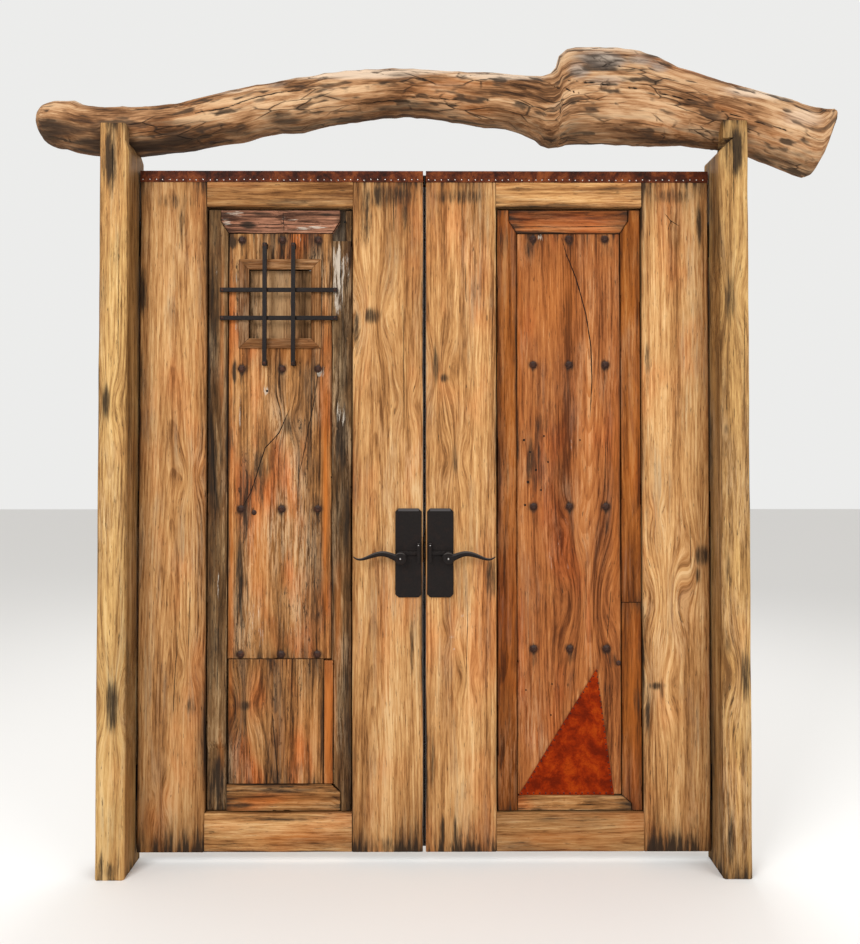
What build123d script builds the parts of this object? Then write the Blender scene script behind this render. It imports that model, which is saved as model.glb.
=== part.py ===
from build123d import *
import math
import os

# A double-leaf timber gate: two posts, a natural log across their tops, and two leaves that are each
# a new timber frame round pieces of an old door. Sizes are millimetres. X runs to the viewer's right,
# Y towards the back and Z up. The origin is on the ground, under the meeting line of the leaves, in
# the plane of their front faces. Side -1 is the left leaf and side +1 the right one.

# Leaves
opening_width = 1829.0
ground_clearance = 38.0
leaf_height = 2165.0
leaf_thickness = 45.0
meeting_gap = 9.0
hinge_gap = 5.0
lock_stile_width = 225.0
top_rail_height = 114.0
bottom_rail_height = 122.0
tenon_length = 70.0
tenon_thickness = 15.0
tenon_shoulder = 14.0
mortise_clearance = 0.3
rabbet_width = 12.0
rabbet_depth = 12.0
board_clearance = 1.0
arris = 2.0
cap_thickness = 1.5
cap_drop = 35.0

# Posts. The shoulders that carry the log are measured up from the leaves' top
post_width = 89.0
post_depth = 140.0
tongue_thickness = 38.0
tongue_height = 54.0
tongue_inner_cut = 11.0
left_shoulder_rise = 65.0
right_shoulder_rise = 76.0
left_corner_cut = (10.0, 30.0)
right_corner_cut = (42.0, 41.0)
post_arris = 4.0

# Log, given by sections: place along it (-1 and 1 are the posts), top and bottom above the shoulders,
# and where its middle lies behind the tongues with half its depth
log_left_overhang = 290.0
log_right_overhang = 300.0
log_sections = [
    (-2.00, 128.0, 92.0, 92.0, 20.0),
    (-1.93, 158.0, 55.0, 91.0, 52.0),
    (-1.82, 171.0, 31.0, 90.0, 68.0),
    (-1.55, 176.0, 12.0, 88.0, 79.0),
    (-1.15, 157.0, -8.0, 78.0, 83.0),
    (-0.93, 153.0, -8.0, 70.0, 82.0),
    (-0.68, 194.0, 24.0, 66.0, 80.0),
    (-0.41, 243.0, 64.0, 64.0, 82.0),
    (-0.24, 262.0, 94.0, 62.0, 80.0),
    (-0.08, 266.0, 110.0, 60.0, 76.0),
    (0.11, 258.0, 94.0, 60.0, 80.0),
    (0.28, 247.0, 74.0, 62.0, 84.0),
    (0.41, 254.0, 22.0, 66.0, 98.0),
    (0.60, 292.0, 22.0, 68.0, 104.0),
    (0.76, 290.0, 18.0, 68.0, 106.0),
    (0.90, 258.0, 13.0, 68.0, 104.0),
    (1.08, 212.0, -6.0, 66.0, 98.0),
    (1.50, 180.0, -46.0, 56.0, 94.0),
]
log_end_place = 1.96
log_end_middle = 14.0
log_end_half_height = 106.0
log_end_depth = (40.0, 88.0)
log_end_tilt = 20.0
# Burl on the log: place along it, height above the shoulders, half length and half depth
burl_behind = 68.0
burl_sections = [
    (0.645, 200.0, 205.0, 94.0),
    (0.615, 285.0, 160.0, 84.0),
    (0.590, 325.0, 126.0, 66.0),
    (0.575, 346.0, 92.0, 44.0),
]
lag_radius = 6.0
lag_spacing = 46.0
lag_above_shoulder = 30.0
lag_tongue_depth = 25.0
lag_clearance = 0.05
counterbore_radius = 20.0
washer_radius = 18.0
washer_thickness = 3.0
lag_head_size = 19.0
lag_head_height = 8.0

# Butt hinges
hinge_length = 114.0
hinge_knuckles = 3
hinge_plate_thickness = 3.0
hinge_plate_reach = 36.0
hinge_pin_radius = 4.0
hinge_knuckle_radius = 7.0
hinge_pin_clearance = 0.05
hinge_knuckle_gap = 0.5
hinge_pin_behind = 8.0
hinge_end_distance = 215.0
pin_head_radius = 6.5
pin_head_height = 5.0
pin_tail = 3.0

# Old door pieces, which the new frame of each leaf is made to fit, with the hinge stiles taking up
# what is left. Places are across from the left and down from the top of the inset
inset_width = 467.0
old_edge_gap = 4.0
old_gap = 1.5
old_stile_width = 64.0
old_rail_gap = 8.0
old_rail_height = 74.0
old_rail_ear = 25.0
old_ear_drop = 35.0
stile_recess = 8.0
rail_recess = 9.0
panel_recess = 13.0
left_bottom_rail_height = 84.0
right_bottom_rail_height = 48.0
bottom_rail_ear = 30.0
bottom_ear_clip = 25.0
old_bottom_gap = 4.0
missing_corner_height = 100.0
missing_strip_width = 21.0
missing_recess = 8.0
strip_lap = 5.0
rotten_foot_height = 220.0
bead_width = 3.0
bead_depth = 2.0
bead_from_edge = 27.0
splice_down = 1266.0

# Window with its moulding and iron grille
window_left_of_middle = 1.0
window_down = 196.0
window_width = 205.0
window_height = 228.0
moulding_width = 29.0
moulding_proud = 7.0
moulding_bevel = 5.0
bar_size = 13.0
bar_depth = 9.0
upright_spacing = 91.0
upright_overrun = (78.0, 86.0)
level_spacing = 90.0
level_drop = 2.0
level_foot_insets = (43.0, 49.0)
foot_length = 15.0
foot_slope = 4.0

# Patches, set in from the edges of the panel that they mend
patch_top = 1446.0
patch_left_inset = 4.0
patch_right_overlap = 7.0
patch_strip_width = 29.0
patch_recess = 10.0
patch_slope = 4.0
strip_proud = 1.0
triangle_top = 1478.0
triangle_apex_inset = 79.0
triangle_left_inset = 4.0
triangle_right_inset = 25.0
triangle_thickness = 3.0

# Forged nails: rows are down the panel and columns to the right of its middle
left_nail_rows = (104.0, 519.0, 968.0, 1431.0)
left_nail_columns = (-123.5, 6.5, 121.5)
right_nail_rows = (100.0, 506.0, 961.0, 1414.0)
right_nail_columns = (-113.5, 1.5, 118.5)
nail_head_radius = 12.5
nail_head_height = 6.0
nail_shank_width = 5.0
nail_depth = 14.0
nail_clearance = 0.1
foot_nail_radius = 5.0
foot_nail_height = 2.5
foot_nail_shank = 3.0

# Handle plates, levers and latch
handle_height = 968.0
backset = 71.0
plate_from_edge = 4.0
plate_width = 84.0
plate_height = 282.0
plate_above = 156.0
plate_thickness = 6.0
plate_corner = 10.0
plate_bevel = 1.8
hub_radius = 19.0
hub_thickness = 12.0
hub_front = 30.0
neck_radius = 9.0
neck_clearance = 0.06
neck_depth = 4.0
hub_chamfer = 2.5
boss_radius = 4.5
boss_height = 4.0
boss_chamfer = 2.0
bar_rise = 15.0
bar_height = 9.0
bar_thickness = 5.0
bar_reach = 62.0
bar_stand = 9.0
strap_across = 57.0
strap_width = 8.0
strap_low = -14.0
strap_high = 46.0
strap_thickness = 4.0
strap_clearance = 1.5
spindle_size = 8.0
spindle_clearance = 0.05
spindle_hole_radius = 9.5
spindle_end_gap = 6.0
lever_turn = 20.0
case_depth = 96.0
case_height = 90.0
case_thickness = 20.0
case_wall = 2.0
case_clearance = 0.5
case_below = 30.0
face_plate_height = 150.0
face_plate_width = 24.0
face_plate_thickness = 3.0
bolt_height = 18.0
bolt_thickness = 12.0
bolt_clearance = 0.3
bolt_travel = 8.0
bolt_tail = 8.0
follower_radius = 11.0
follower_tip = 4.0
follower_arm_width = 3.2
follower_thickness = 10.0
notch_clearance = 0.8
strike_height = 80.0
strike_pocket_depth = 16.0

# Shutter behind the window
shutter_gap = 3.0
shutter_hinge_length = 50.0
shutter_knuckles = 3
shutter_plate_thickness = 1.2
shutter_plate_reach = 10.0
shutter_pin_radius = 1.5
shutter_knuckle_radius = 3.2
shutter_pin_behind = 3.8
shutter_hinge_inset = 45.0
pull_radius = 11.0
pull_height = 22.0

# Places worked out from the sizes above
post_front = leaf_thickness - post_depth
tongue_back = post_front + tongue_thickness
leaf_bottom = ground_clearance
leaf_top = leaf_bottom + leaf_height
log_base = leaf_top + min(left_shoulder_rise, right_shoulder_rise)
inset_top = leaf_top - top_rail_height
inset_bottom = leaf_bottom + bottom_rail_height
hinge_edge = opening_width / 2 - hinge_gap
meeting_edge = meeting_gap / 2
inset_inner = meeting_edge + lock_stile_width
inset_outer = inset_inner + inset_width
inset_height = inset_top - inset_bottom
old_back = leaf_thickness - rabbet_depth
hub_x = meeting_edge + backset
follower_arm = bolt_travel / math.sin(math.radians(lever_turn))
hinge_pin_x = opening_width / 2 - hinge_gap / 2
hinge_pin_y = leaf_thickness + hinge_pin_behind
hinge_heights = (
    leaf_bottom + hinge_end_distance,
    leaf_bottom + leaf_height / 2,
    leaf_top - hinge_end_distance,
)
parts = {}


def block(x, y, z):
    """A box between two places on each axis, given in either order."""
    low = [min(x), min(y), min(z)]
    size = [abs(x[1] - x[0]), abs(y[1] - y[0]), abs(z[1] - z[0])]
    return Pos(*low) * Box(*size, align=(Align.MIN, Align.MIN, Align.MIN))


def slab(outline, front, back):
    """A board with an outline of (X, Z) points, between a front and a back place on Y."""
    plane = Plane(origin=(0, back, 0), x_dir=(1, 0, 0), z_dir=(0, -1, 0))
    return extrude(plane * Polygon(*outline, align=None), back - front, dir=(0, -1, 0))


def rod(x, z, radius, front, back):
    """A round bar along Y."""
    plane = Plane(origin=(x, back, z), x_dir=(1, 0, 0), z_dir=(0, -1, 0))
    return extrude(plane * Circle(radius), back - front)


def upright_rod(x, y, radius, low, high):
    """A round bar along Z."""
    return extrude(Plane(origin=(x, y, low)) * Circle(radius), high - low)


def ease(solid, axis, size):
    """Breaks the long edges of a board that run along one axis."""
    return chamfer(solid.edges().filter_by(axis).group_by(SortBy.LENGTH)[-1], size)


# Posts and log


def shoulder_height(side):
    return leaf_top + (left_shoulder_rise if side < 0 else right_shoulder_rise)


def make_post(side):
    inner = side * opening_width / 2
    outer = side * (opening_width / 2 + post_width)
    shoulder = shoulder_height(side)
    top = shoulder + tongue_height
    body = ease(block((inner, outer), (post_front, leaf_thickness), (0, top)), Axis.Z, post_arris)
    corner_width, corner_height = left_corner_cut if side < 0 else right_corner_cut
    behind_tongue = block((inner, outer), (tongue_back, leaf_thickness), (shoulder, top))
    tongue_cheek = block(
        (inner, inner + side * tongue_inner_cut),
        (post_front, leaf_thickness),
        (shoulder, top),
    )
    corner = slab(
        [
            (inner, shoulder - corner_height),
            (inner + side * corner_width, shoulder),
            (inner, shoulder),
        ],
        post_front,
        leaf_thickness,
    )
    post = body - behind_tongue - tongue_cheek - corner
    for height in hinge_heights:
        post -= hinge_recess(side, height, leaf=False)
    return post


def log_place(along):
    """X of a place along the log, where -1 and 1 are the middles of the posts."""
    post_middle = opening_width / 2 + post_width / 2
    if along < -1:
        return -post_middle + (along + 1) * log_left_overhang
    if along > 1:
        return post_middle + (along - 1) * log_right_overhang
    return along * post_middle


def log_section(along, top, bottom, behind, half_depth):
    middle = log_base + (top + bottom) / 2
    plane = Plane(origin=(log_place(along), tongue_back + behind, middle), x_dir=(0, 1, 0), z_dir=(1, 0, 0))
    return plane * Ellipse(half_depth, (top - bottom) / 2)


def log_end_section():
    tilt = math.radians(log_end_tilt)
    behind, half_depth = log_end_depth
    plane = Plane(
        origin=(log_place(log_end_place), tongue_back + behind, log_base + log_end_middle),
        x_dir=(0, 1, 0),
        z_dir=(math.cos(tilt), 0, -math.sin(tilt)),
    )
    return plane * Ellipse(half_depth, log_end_half_height)


def make_burl():
    sections = []
    for along, height, half_length, half_depth in burl_sections:
        origin = (log_place(along), tongue_back + burl_behind, log_base + height)
        sections.append(Plane(origin=origin) * Ellipse(half_length, half_depth))
    return loft(sections)


def make_log(posts):
    sections = [log_section(*section) for section in log_sections]
    sections.append(log_end_section())
    log = loft(sections)
    log += make_burl()
    for post in posts:
        log -= post
    return log


def lag_places():
    """X and height of each lag screw, two to a post."""
    for side in (-1, 1):
        middle = side * (opening_width / 2 + post_width / 2 + tongue_inner_cut / 2)
        for offset in (-lag_spacing / 2, lag_spacing / 2):
            yield middle + offset, shoulder_height(side) + lag_above_shoulder


def lag_hole(x, z):
    """The clearance hole and counterbore in the log."""
    counterbore = rod(x, z, counterbore_radius, leaf_thickness, leaf_thickness + post_depth)
    return counterbore + rod(x, z, lag_radius + 0.5, tongue_back, leaf_thickness)


def lag_pilot(x, z):
    return rod(x, z, lag_radius + lag_clearance, tongue_back - lag_tongue_depth, tongue_back)


def lag_washer(x, z):
    ring = rod(x, z, washer_radius, leaf_thickness, leaf_thickness + washer_thickness)
    return ring - rod(x, z, lag_radius + 0.5, leaf_thickness, leaf_thickness + washer_thickness)


def lag_screw(x, z):
    seat = leaf_thickness + washer_thickness
    tip = tongue_back - lag_tongue_depth
    shank = rod(x, z, lag_radius, tip, seat)
    plane = Plane(origin=(x, seat + lag_head_height, z), x_dir=(1, 0, 0), z_dir=(0, -1, 0))
    head = extrude(plane * RegularPolygon(lag_head_size / 2, 6, major_radius=False), lag_head_height)
    return shank + head


# Hinges


def hinge_recess(side, height, leaf):
    """The pocket that one plate is let into."""
    if leaf:
        face = side * hinge_edge
        depth = -side * hinge_plate_thickness
    else:
        face = side * opening_width / 2
        depth = side * hinge_plate_thickness
    return block(
        (face, face + depth),
        (leaf_thickness - hinge_plate_reach, leaf_thickness),
        (height - hinge_length / 2, height + hinge_length / 2),
    )


def knuckle_spans(length, count, gap, height, first):
    """The low and high place of every second knuckle of a barrel."""
    pitch = length / count
    for index in range(first, count, 2):
        low = height - length / 2 + index * pitch + gap / 2
        yield low, low + pitch - gap


def hinge_plate(side, height, leaf):
    plate = hinge_recess(side, height, leaf)
    box = plate.bounding_box()
    barrel = None
    first = 1 if leaf else 0
    for low, high in knuckle_spans(hinge_length, hinge_knuckles, hinge_knuckle_gap, height, first):
        arm = block((box.min.X, box.max.X), (leaf_thickness, hinge_pin_y), (low, high))
        knuckle = upright_rod(side * hinge_pin_x, hinge_pin_y, hinge_knuckle_radius, low, high)
        barrel = arm + knuckle if barrel is None else barrel + arm + knuckle
    bore = upright_rod(
        side * hinge_pin_x,
        hinge_pin_y,
        hinge_pin_radius + hinge_pin_clearance,
        height - hinge_length,
        height + hinge_length,
    )
    return (plate + barrel) - bore


def hinge_pin(side, height):
    top = height + hinge_length / 2 - hinge_knuckle_gap / 2
    low = height - hinge_length / 2 - pin_tail
    shank = upright_rod(side * hinge_pin_x, hinge_pin_y, hinge_pin_radius, low, top)
    head_top = top + pin_head_height
    head = upright_rod(side * hinge_pin_x, hinge_pin_y, pin_head_radius, top, head_top)
    head = chamfer(head.edges().group_by(Axis.Z)[-1], pin_head_height * 0.4)
    return shank + head


# Leaf frames


def rabbet(side):
    """The pocket behind the inset that the backing board lies in."""
    return block(
        (side * (inset_inner - rabbet_width), side * (inset_outer + rabbet_width)),
        (old_back, leaf_thickness),
        (inset_bottom - rabbet_width, inset_top + rabbet_width),
    )


def tenon(side, low, high, clearance):
    """Both tenons of a rail, as one bar that runs through its length."""
    middle = leaf_thickness / 2 - rabbet_depth / 2
    half = tenon_thickness / 2 + clearance
    return block(
        (
            side * (inset_inner - tenon_length - clearance),
            side * (inset_outer + tenon_length + clearance),
        ),
        (middle - half, middle + half),
        (low + tenon_shoulder - clearance, high - tenon_shoulder + clearance),
    )


def make_rail(side, low, high):
    rail = block((side * inset_inner, side * inset_outer), (0, leaf_thickness), (low, high))
    rail = ease(rail, Axis.X, arris)
    return rail - rabbet(side) + tenon(side, low, high, 0.0)


def make_stile(side, near, far):
    stile = block((side * near, side * far), (0, leaf_thickness), (leaf_bottom, leaf_top))
    stile = ease(stile, Axis.Z, arris)
    stile -= rabbet(side)
    stile -= tenon(side, leaf_bottom, inset_bottom, mortise_clearance)
    stile -= tenon(side, inset_top, leaf_top, mortise_clearance)
    return stile


def make_hinge_stile(side):
    stile = make_stile(side, inset_outer, hinge_edge)
    for height in hinge_heights:
        stile -= hinge_recess(side, height, leaf=True)
    return stile


def make_lock_stile(side):
    stile = make_stile(side, meeting_edge, inset_inner)
    stile -= rod(side * hub_x, handle_height, spindle_hole_radius, 0, leaf_thickness)
    if side > 0:
        return stile - case_pocket() - face_plate()
    return stile - strike_pocket() - strike_blank()


def make_cap(side):
    """A sheet folded over the top edge of a leaf."""
    outer = block(
        (side * meeting_edge, side * hinge_edge),
        (-cap_thickness, leaf_thickness + cap_thickness),
        (leaf_top - cap_drop, leaf_top + cap_thickness),
    )
    outer = fillet(outer.edges().filter_by(Axis.X).group_by(Axis.Z)[-1], cap_thickness)
    return outer - block((side * meeting_edge, side * hinge_edge), (0, leaf_thickness), (0, leaf_top))


# Inset boards


def inset_left(side):
    return -inset_outer if side < 0 else inset_inner


def spot(side, across, down):
    """X and Z of a place measured across and down from the inset's top left corner."""
    return inset_left(side) + across, inset_top - down


def piece(side, outline, recess, back=old_back):
    return slab([spot(side, across, down) for across, down in outline], recess, back)


def window_corner():
    """X and Z of the window's top left corner."""
    middle = inset_width / 2 - window_left_of_middle
    return spot(-1, middle - window_width / 2, window_down)


def window_hole(front, back):
    left, top = window_corner()
    return block((left, left + window_width), (front, back), (top - window_height, top))


def make_backing(side):
    board = block(
        (
            side * (inset_inner - rabbet_width + board_clearance),
            side * (inset_outer + rabbet_width - board_clearance),
        ),
        (old_back, leaf_thickness),
        (inset_bottom - rabbet_width + board_clearance, inset_top + rabbet_width - board_clearance),
    )
    if side < 0:
        board -= window_hole(old_back, leaf_thickness)
        for height in shutter_hinge_heights():
            board -= shutter_recess(height, moving=False)
    return board


def old_bottom(side):
    """How far down the old bottom rail starts, and how far down the old pieces end."""
    height = left_bottom_rail_height if side < 0 else right_bottom_rail_height
    end = inset_height - old_bottom_gap
    return end - height, end


def make_old_top_rail(side):
    left = old_edge_gap + old_stile_width - old_rail_ear
    right = inset_width - left
    low = old_rail_gap + old_rail_height
    ear = old_rail_gap + old_ear_drop
    outline = [
        (left, old_rail_gap),
        (right, old_rail_gap),
        (right, ear),
        (right - old_rail_ear, low),
        (left + old_rail_ear, low),
        (left, ear),
    ]
    return ease(piece(side, outline, rail_recess), Axis.X, arris / 2)


def stile_inner_edge(side, top_ear=True, foot_ear=True):
    """The inner edge of an old left stile, from its top down, clear of the rails' ears."""
    edge = old_edge_gap + old_stile_width - old_gap
    start, end = old_bottom(side)
    points = []
    if top_ear:
        points += [
            (edge - old_rail_ear, old_rail_gap),
            (edge - old_rail_ear, old_rail_gap + old_ear_drop),
            (edge, old_rail_gap + old_rail_height),
        ]
    else:
        points += [(edge, old_rail_gap)]
    if foot_ear:
        points += [
            (edge, start - old_gap),
            (edge - bottom_rail_ear, start + bottom_ear_clip - old_gap),
            (edge - bottom_rail_ear, end),
        ]
    else:
        points += [(edge, end)]
    return points


def mirror_across(points):
    return [(inset_width - across, down) for across, down in points]


def make_old_left_stile(side):
    start, end = old_bottom(side)
    inner = stile_inner_edge(side, foot_ear=False)
    outline = inner + [(old_edge_gap, end), (old_edge_gap, old_rail_gap)]
    stile = piece(side, outline, stile_recess)
    if side < 0:
        left, low = spot(side, 0, end)
        across = (left, left + old_stile_width + old_edge_gap)
        return stile - block(across, (0, stile_recess + missing_recess), (low, low + rotten_foot_height))
    return stile - bead(side, old_edge_gap + old_stile_width - bead_from_edge)


def bead(side, across):
    left, top = spot(side, across, 0)
    return block(
        (left - bead_width / 2, left + bead_width / 2),
        (0, stile_recess + bead_depth),
        (inset_bottom, top),
    )


def panel_edges():
    """Across of the panel's left and right edges."""
    left = old_edge_gap + old_stile_width
    return left, inset_width - left


def patch_right():
    return panel_edges()[1] + patch_right_overlap


def make_old_right_stile_left_leaf():
    """Has lost its top corner and is cut round the patch board."""
    start, end = old_bottom(-1)
    edge = old_edge_gap + old_stile_width - old_gap
    patch_edge = inset_width - patch_right() - old_gap
    missing = old_rail_gap + missing_corner_height
    inner = [
        (edge, missing),
        (edge, patch_top - old_gap),
        (patch_edge, patch_top - old_gap),
        (patch_edge, start - 2 * old_gap + (edge + old_gap - patch_edge) * bottom_ear_clip / bottom_rail_ear),
        (edge - bottom_rail_ear, start + bottom_ear_clip - old_gap),
        (edge - bottom_rail_ear, end),
        (old_edge_gap, end),
        (old_edge_gap, missing),
    ]
    stile = piece(-1, mirror_across(inner), stile_recess)
    strip = [
        (old_edge_gap, old_rail_gap),
        (old_edge_gap + missing_strip_width, old_rail_gap),
        (old_edge_gap + missing_strip_width, missing + strip_lap),
        (old_edge_gap, missing + strip_lap),
    ]
    return stile + piece(-1, mirror_across(strip), stile_recess + missing_recess)


def make_spliced_stile(upper):
    inner = stile_inner_edge(1)
    outline = inner + [(old_edge_gap, inner[-1][1]), (old_edge_gap, old_rail_gap)]
    stile = piece(1, mirror_across(outline), stile_recess)
    stile -= bead(1, inset_width - old_edge_gap - old_stile_width + bead_from_edge)
    splice = inset_top - splice_down
    if upper:
        return stile - block((0, hinge_edge), (0, old_back), (inset_bottom, splice + old_gap / 2))
    return stile - block((0, hinge_edge), (0, old_back), (splice - old_gap / 2, inset_top))


def make_old_bottom_rail(side):
    start, end = old_bottom(side)
    stile_edge = old_edge_gap + old_stile_width
    left = stile_edge
    right = inset_width - stile_edge + bottom_rail_ear
    outline = [
        (left, start),
        (inset_width - stile_edge, start),
        (right, start + bottom_ear_clip),
        (right, end),
        (left, end),
    ]
    return ease(piece(side, outline, rail_recess), Axis.X, arris / 2)


def make_panel(side):
    start, end = old_bottom(side)
    low = patch_top - old_gap if side < 0 else start - old_gap
    left, right = panel_edges()
    top = old_rail_gap + old_rail_height + old_gap
    outline = [
        (left, top),
        (right, top),
        (right, low),
        (left, low),
    ]
    board = piece(side, outline, panel_recess)
    if side < 0:
        board -= window_hole(panel_recess, old_back)
    return board


def make_moulding():
    """Four strips round the window, mitred at the corners and bevelled towards it."""
    left, top = window_corner()
    right, low = left + window_width, top - window_height
    wide = moulding_width
    corners = [(left, top), (right, top), (right, low), (left, low)]
    outer = [
        (left - wide, top + wide),
        (right + wide, top + wide),
        (right + wide, low - wide),
        (left - wide, low - wide),
    ]
    front = panel_recess - moulding_proud
    middle = (left + window_width / 2, front, low + window_height / 2)
    wide_mouth = Rectangle(window_width + 2 * moulding_bevel, window_height + 2 * moulding_bevel)
    mouth_plane = Plane(origin=middle, x_dir=(1, 0, 0), z_dir=(0, 1, 0))
    bevel = extrude(mouth_plane * wide_mouth, moulding_bevel, taper=45)
    strips = []
    for index in range(4):
        following = (index + 1) % 4
        outline = [outer[index], outer[following], corners[following], corners[index]]
        strips.append(slab(outline, front, panel_recess) - bevel)
    return strips


def grille_bar(start, end, front, feet, upright, place):
    """A square bar whose two ends turn back to the boards."""
    depth = front + bar_depth
    profile = [
        (start, front),
        (end, front),
        (end, feet),
        (end - foot_length, feet),
        (end - foot_length - foot_slope, depth),
        (start + foot_length + foot_slope, depth),
        (start + foot_length, feet),
        (start, feet),
    ]
    left, top = spot(-1, 0, 0)
    if upright:
        points = [(0, y, top - down) for down, y in profile]
        face = make_face(Polyline(*points, close=True))
        bar = extrude(face, bar_size, dir=(1, 0, 0))
        return Pos(left + place - bar_size / 2, 0, 0) * bar
    points = [(left + across, y, 0) for across, y in profile]
    face = make_face(Polyline(*points, close=True))
    bar = extrude(face, bar_size, dir=(0, 0, 1))
    return Pos(0, 0, top - place - bar_size / 2) * bar


def level_bar_front():
    return panel_recess - moulding_proud - bar_depth


def upright_bar_front():
    return level_bar_front() - bar_depth


def upright_bars():
    """Across of each upright bar, with how far down it starts and ends."""
    middle = inset_width / 2 - window_left_of_middle
    above, below = upright_overrun
    for across in (middle - upright_spacing / 2, middle + upright_spacing / 2):
        yield across, window_down - above, window_down + window_height + below


def level_bars():
    """Down of each level bar, with how far across it starts and ends."""
    middle = window_down + window_height / 2 + level_drop
    left, right = level_foot_insets
    for down in (middle - level_spacing / 2, middle + level_spacing / 2):
        yield down, left, inset_width - right


def make_grille():
    bars = []
    for across, start, end in upright_bars():
        bars.append(grille_bar(start, end, upright_bar_front(), panel_recess, True, across))
    for down, start, end in level_bars():
        bars.append(grille_bar(start, end, level_bar_front(), stile_recess, False, down))
    for index, bar in enumerate(bars):
        for x, z, front, seat in foot_nail_places():
            bar -= shank(x, z, foot_nail_shank + 2 * nail_clearance, front, seat)
        bars[index] = bar
    return bars


def make_patch_board():
    left = panel_edges()[0] + patch_left_inset
    right = patch_right() - patch_strip_width - old_gap
    start, _ = old_bottom(-1)
    outline = [
        (left, patch_top),
        (right, patch_top + patch_slope),
        (right, start - old_gap),
        (left + patch_slope, start - old_gap),
    ]
    return piece(-1, outline, patch_recess)


def make_patch_strip():
    right = patch_right()
    left = right - patch_strip_width
    start, _ = old_bottom(-1)
    outline = [
        (left, patch_top + patch_slope),
        (right, patch_top + 2 * patch_slope),
        (right, start - old_gap),
        (left, start - old_gap),
    ]
    return piece(-1, outline, patch_recess - strip_proud)


def make_triangle():
    start, _ = old_bottom(1)
    low = start - old_gap
    left, right = panel_edges()
    outline = [
        (right - triangle_apex_inset, triangle_top),
        (right - triangle_right_inset, low),
        (left + triangle_left_inset, low),
    ]
    return piece(1, outline, panel_recess - triangle_thickness, panel_recess)


# Nails


def forged_head(x, z, seat, radius, height):
    """A low faceted head."""
    plane = Plane(origin=(x, seat, z), x_dir=(1, 0, 0), z_dir=(0, -1, 0))
    base = plane * RegularPolygon(radius, 8)
    crown = plane.offset(height) * RegularPolygon(radius * 0.45, 8)
    return loft([base, crown])


def foot_nail_places():
    """X and Z of the nail through each foot of the grille, with the bar's front and the board's."""
    inward = foot_length / 2
    for across, start, end in upright_bars():
        for down in (start + inward, end - inward):
            yield *spot(-1, across, down), upright_bar_front(), panel_recess
    for down, start, end in level_bars():
        for across in (start + inward, end - inward):
            yield *spot(-1, across, down), level_bar_front(), stile_recess


def foot_nail_holes():
    """The holes that the feet's nails take in the boards."""
    for x, z, _, seat in foot_nail_places():
        yield shank(x, z, foot_nail_shank + 2 * nail_clearance, seat, seat + nail_depth)


def nail_places(side):
    rows = left_nail_rows if side < 0 else right_nail_rows
    columns = left_nail_columns if side < 0 else right_nail_columns
    for row in rows:
        for column in columns:
            yield spot(side, inset_width / 2 + column, row)


def shank(x, z, width, front, back):
    """A square shank along Y, or its hole."""
    half = width / 2
    return block((x - half, x + half), (front, back), (z - half, z + half))


def nail_hole(x, z):
    return shank(x, z, nail_shank_width + 2 * nail_clearance, panel_recess, panel_recess + nail_depth)


def make_nails(side):
    nails = []
    for x, z in nail_places(side):
        head = forged_head(x, z, panel_recess, nail_head_radius, nail_head_height)
        nails.append(head + shank(x, z, nail_shank_width, panel_recess, panel_recess + nail_depth))
    if side < 0:
        for x, z, front, seat in foot_nail_places():
            head = forged_head(x, z, front, foot_nail_radius, foot_nail_height)
            nails.append(head + shank(x, z, foot_nail_shank, front, seat + nail_depth))
    return nails


# Handle plates, levers and latch


def plate_outline(side):
    middle = side * (meeting_edge + plate_from_edge + plate_width / 2)
    top = handle_height + plate_above
    low = top - plate_height
    half = plate_width / 2
    cut = plate_corner
    return [
        (middle - half, low + cut),
        (middle - half + cut, low),
        (middle + half - cut, low),
        (middle + half, low + cut),
        (middle + half, top - cut),
        (middle + half - cut, top),
        (middle - half + cut, top),
        (middle - half, top - cut),
    ]


def make_plate(side, front):
    if front:
        plate = slab(plate_outline(side), -plate_thickness, 0)
        plate = chamfer(plate.faces().sort_by(Axis.Y)[0].edges(), plate_bevel)
    else:
        plate = slab(plate_outline(side), leaf_thickness, leaf_thickness + plate_thickness)
        plate = chamfer(plate.faces().sort_by(Axis.Y)[-1].edges(), plate_bevel)
    bore = neck_radius + neck_clearance
    plate -= rod(side * hub_x, handle_height, bore, -plate_thickness, leaf_thickness + plate_thickness)
    if front:
        plate += guide_strap(side)
    return plate


def strap_front():
    return -(plate_thickness + bar_stand + strap_clearance + strap_thickness)


def guide_strap(side):
    """A staple in front of the lever's bar, which keeps its turn within limits."""
    x = side * (hub_x - strap_across)
    low = handle_height + strap_low
    high = handle_height + strap_high
    front = strap_front()
    sides = (x - strap_width / 2, x + strap_width / 2)
    bridge = block(sides, (front, front + strap_thickness), (low, high))
    foot = block(sides, (front, -plate_thickness), (low, low + strap_thickness))
    head = block(sides, (front, -plate_thickness), (high - strap_thickness, high))
    return bridge + foot + head


def grip_sections():
    """Across from the hub, up from it, half height and half depth of the lever's grip."""
    return [
        (4.0, 0.0, 11.0, 6.0),
        (18.0, 4.5, 10.0, 6.5),
        (36.0, 11.5, 8.8, 7.0),
        (56.0, 15.5, 8.0, 7.5),
        (76.0, 13.0, 7.2, 7.0),
        (94.0, 7.0, 6.0, 6.0),
        (112.0, 0.5, 4.6, 5.0),
        (128.0, -2.5, 3.4, 4.0),
        (140.0, 0.5, 2.4, 3.2),
        (148.0, 6.0, 1.4, 2.2),
    ]


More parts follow.
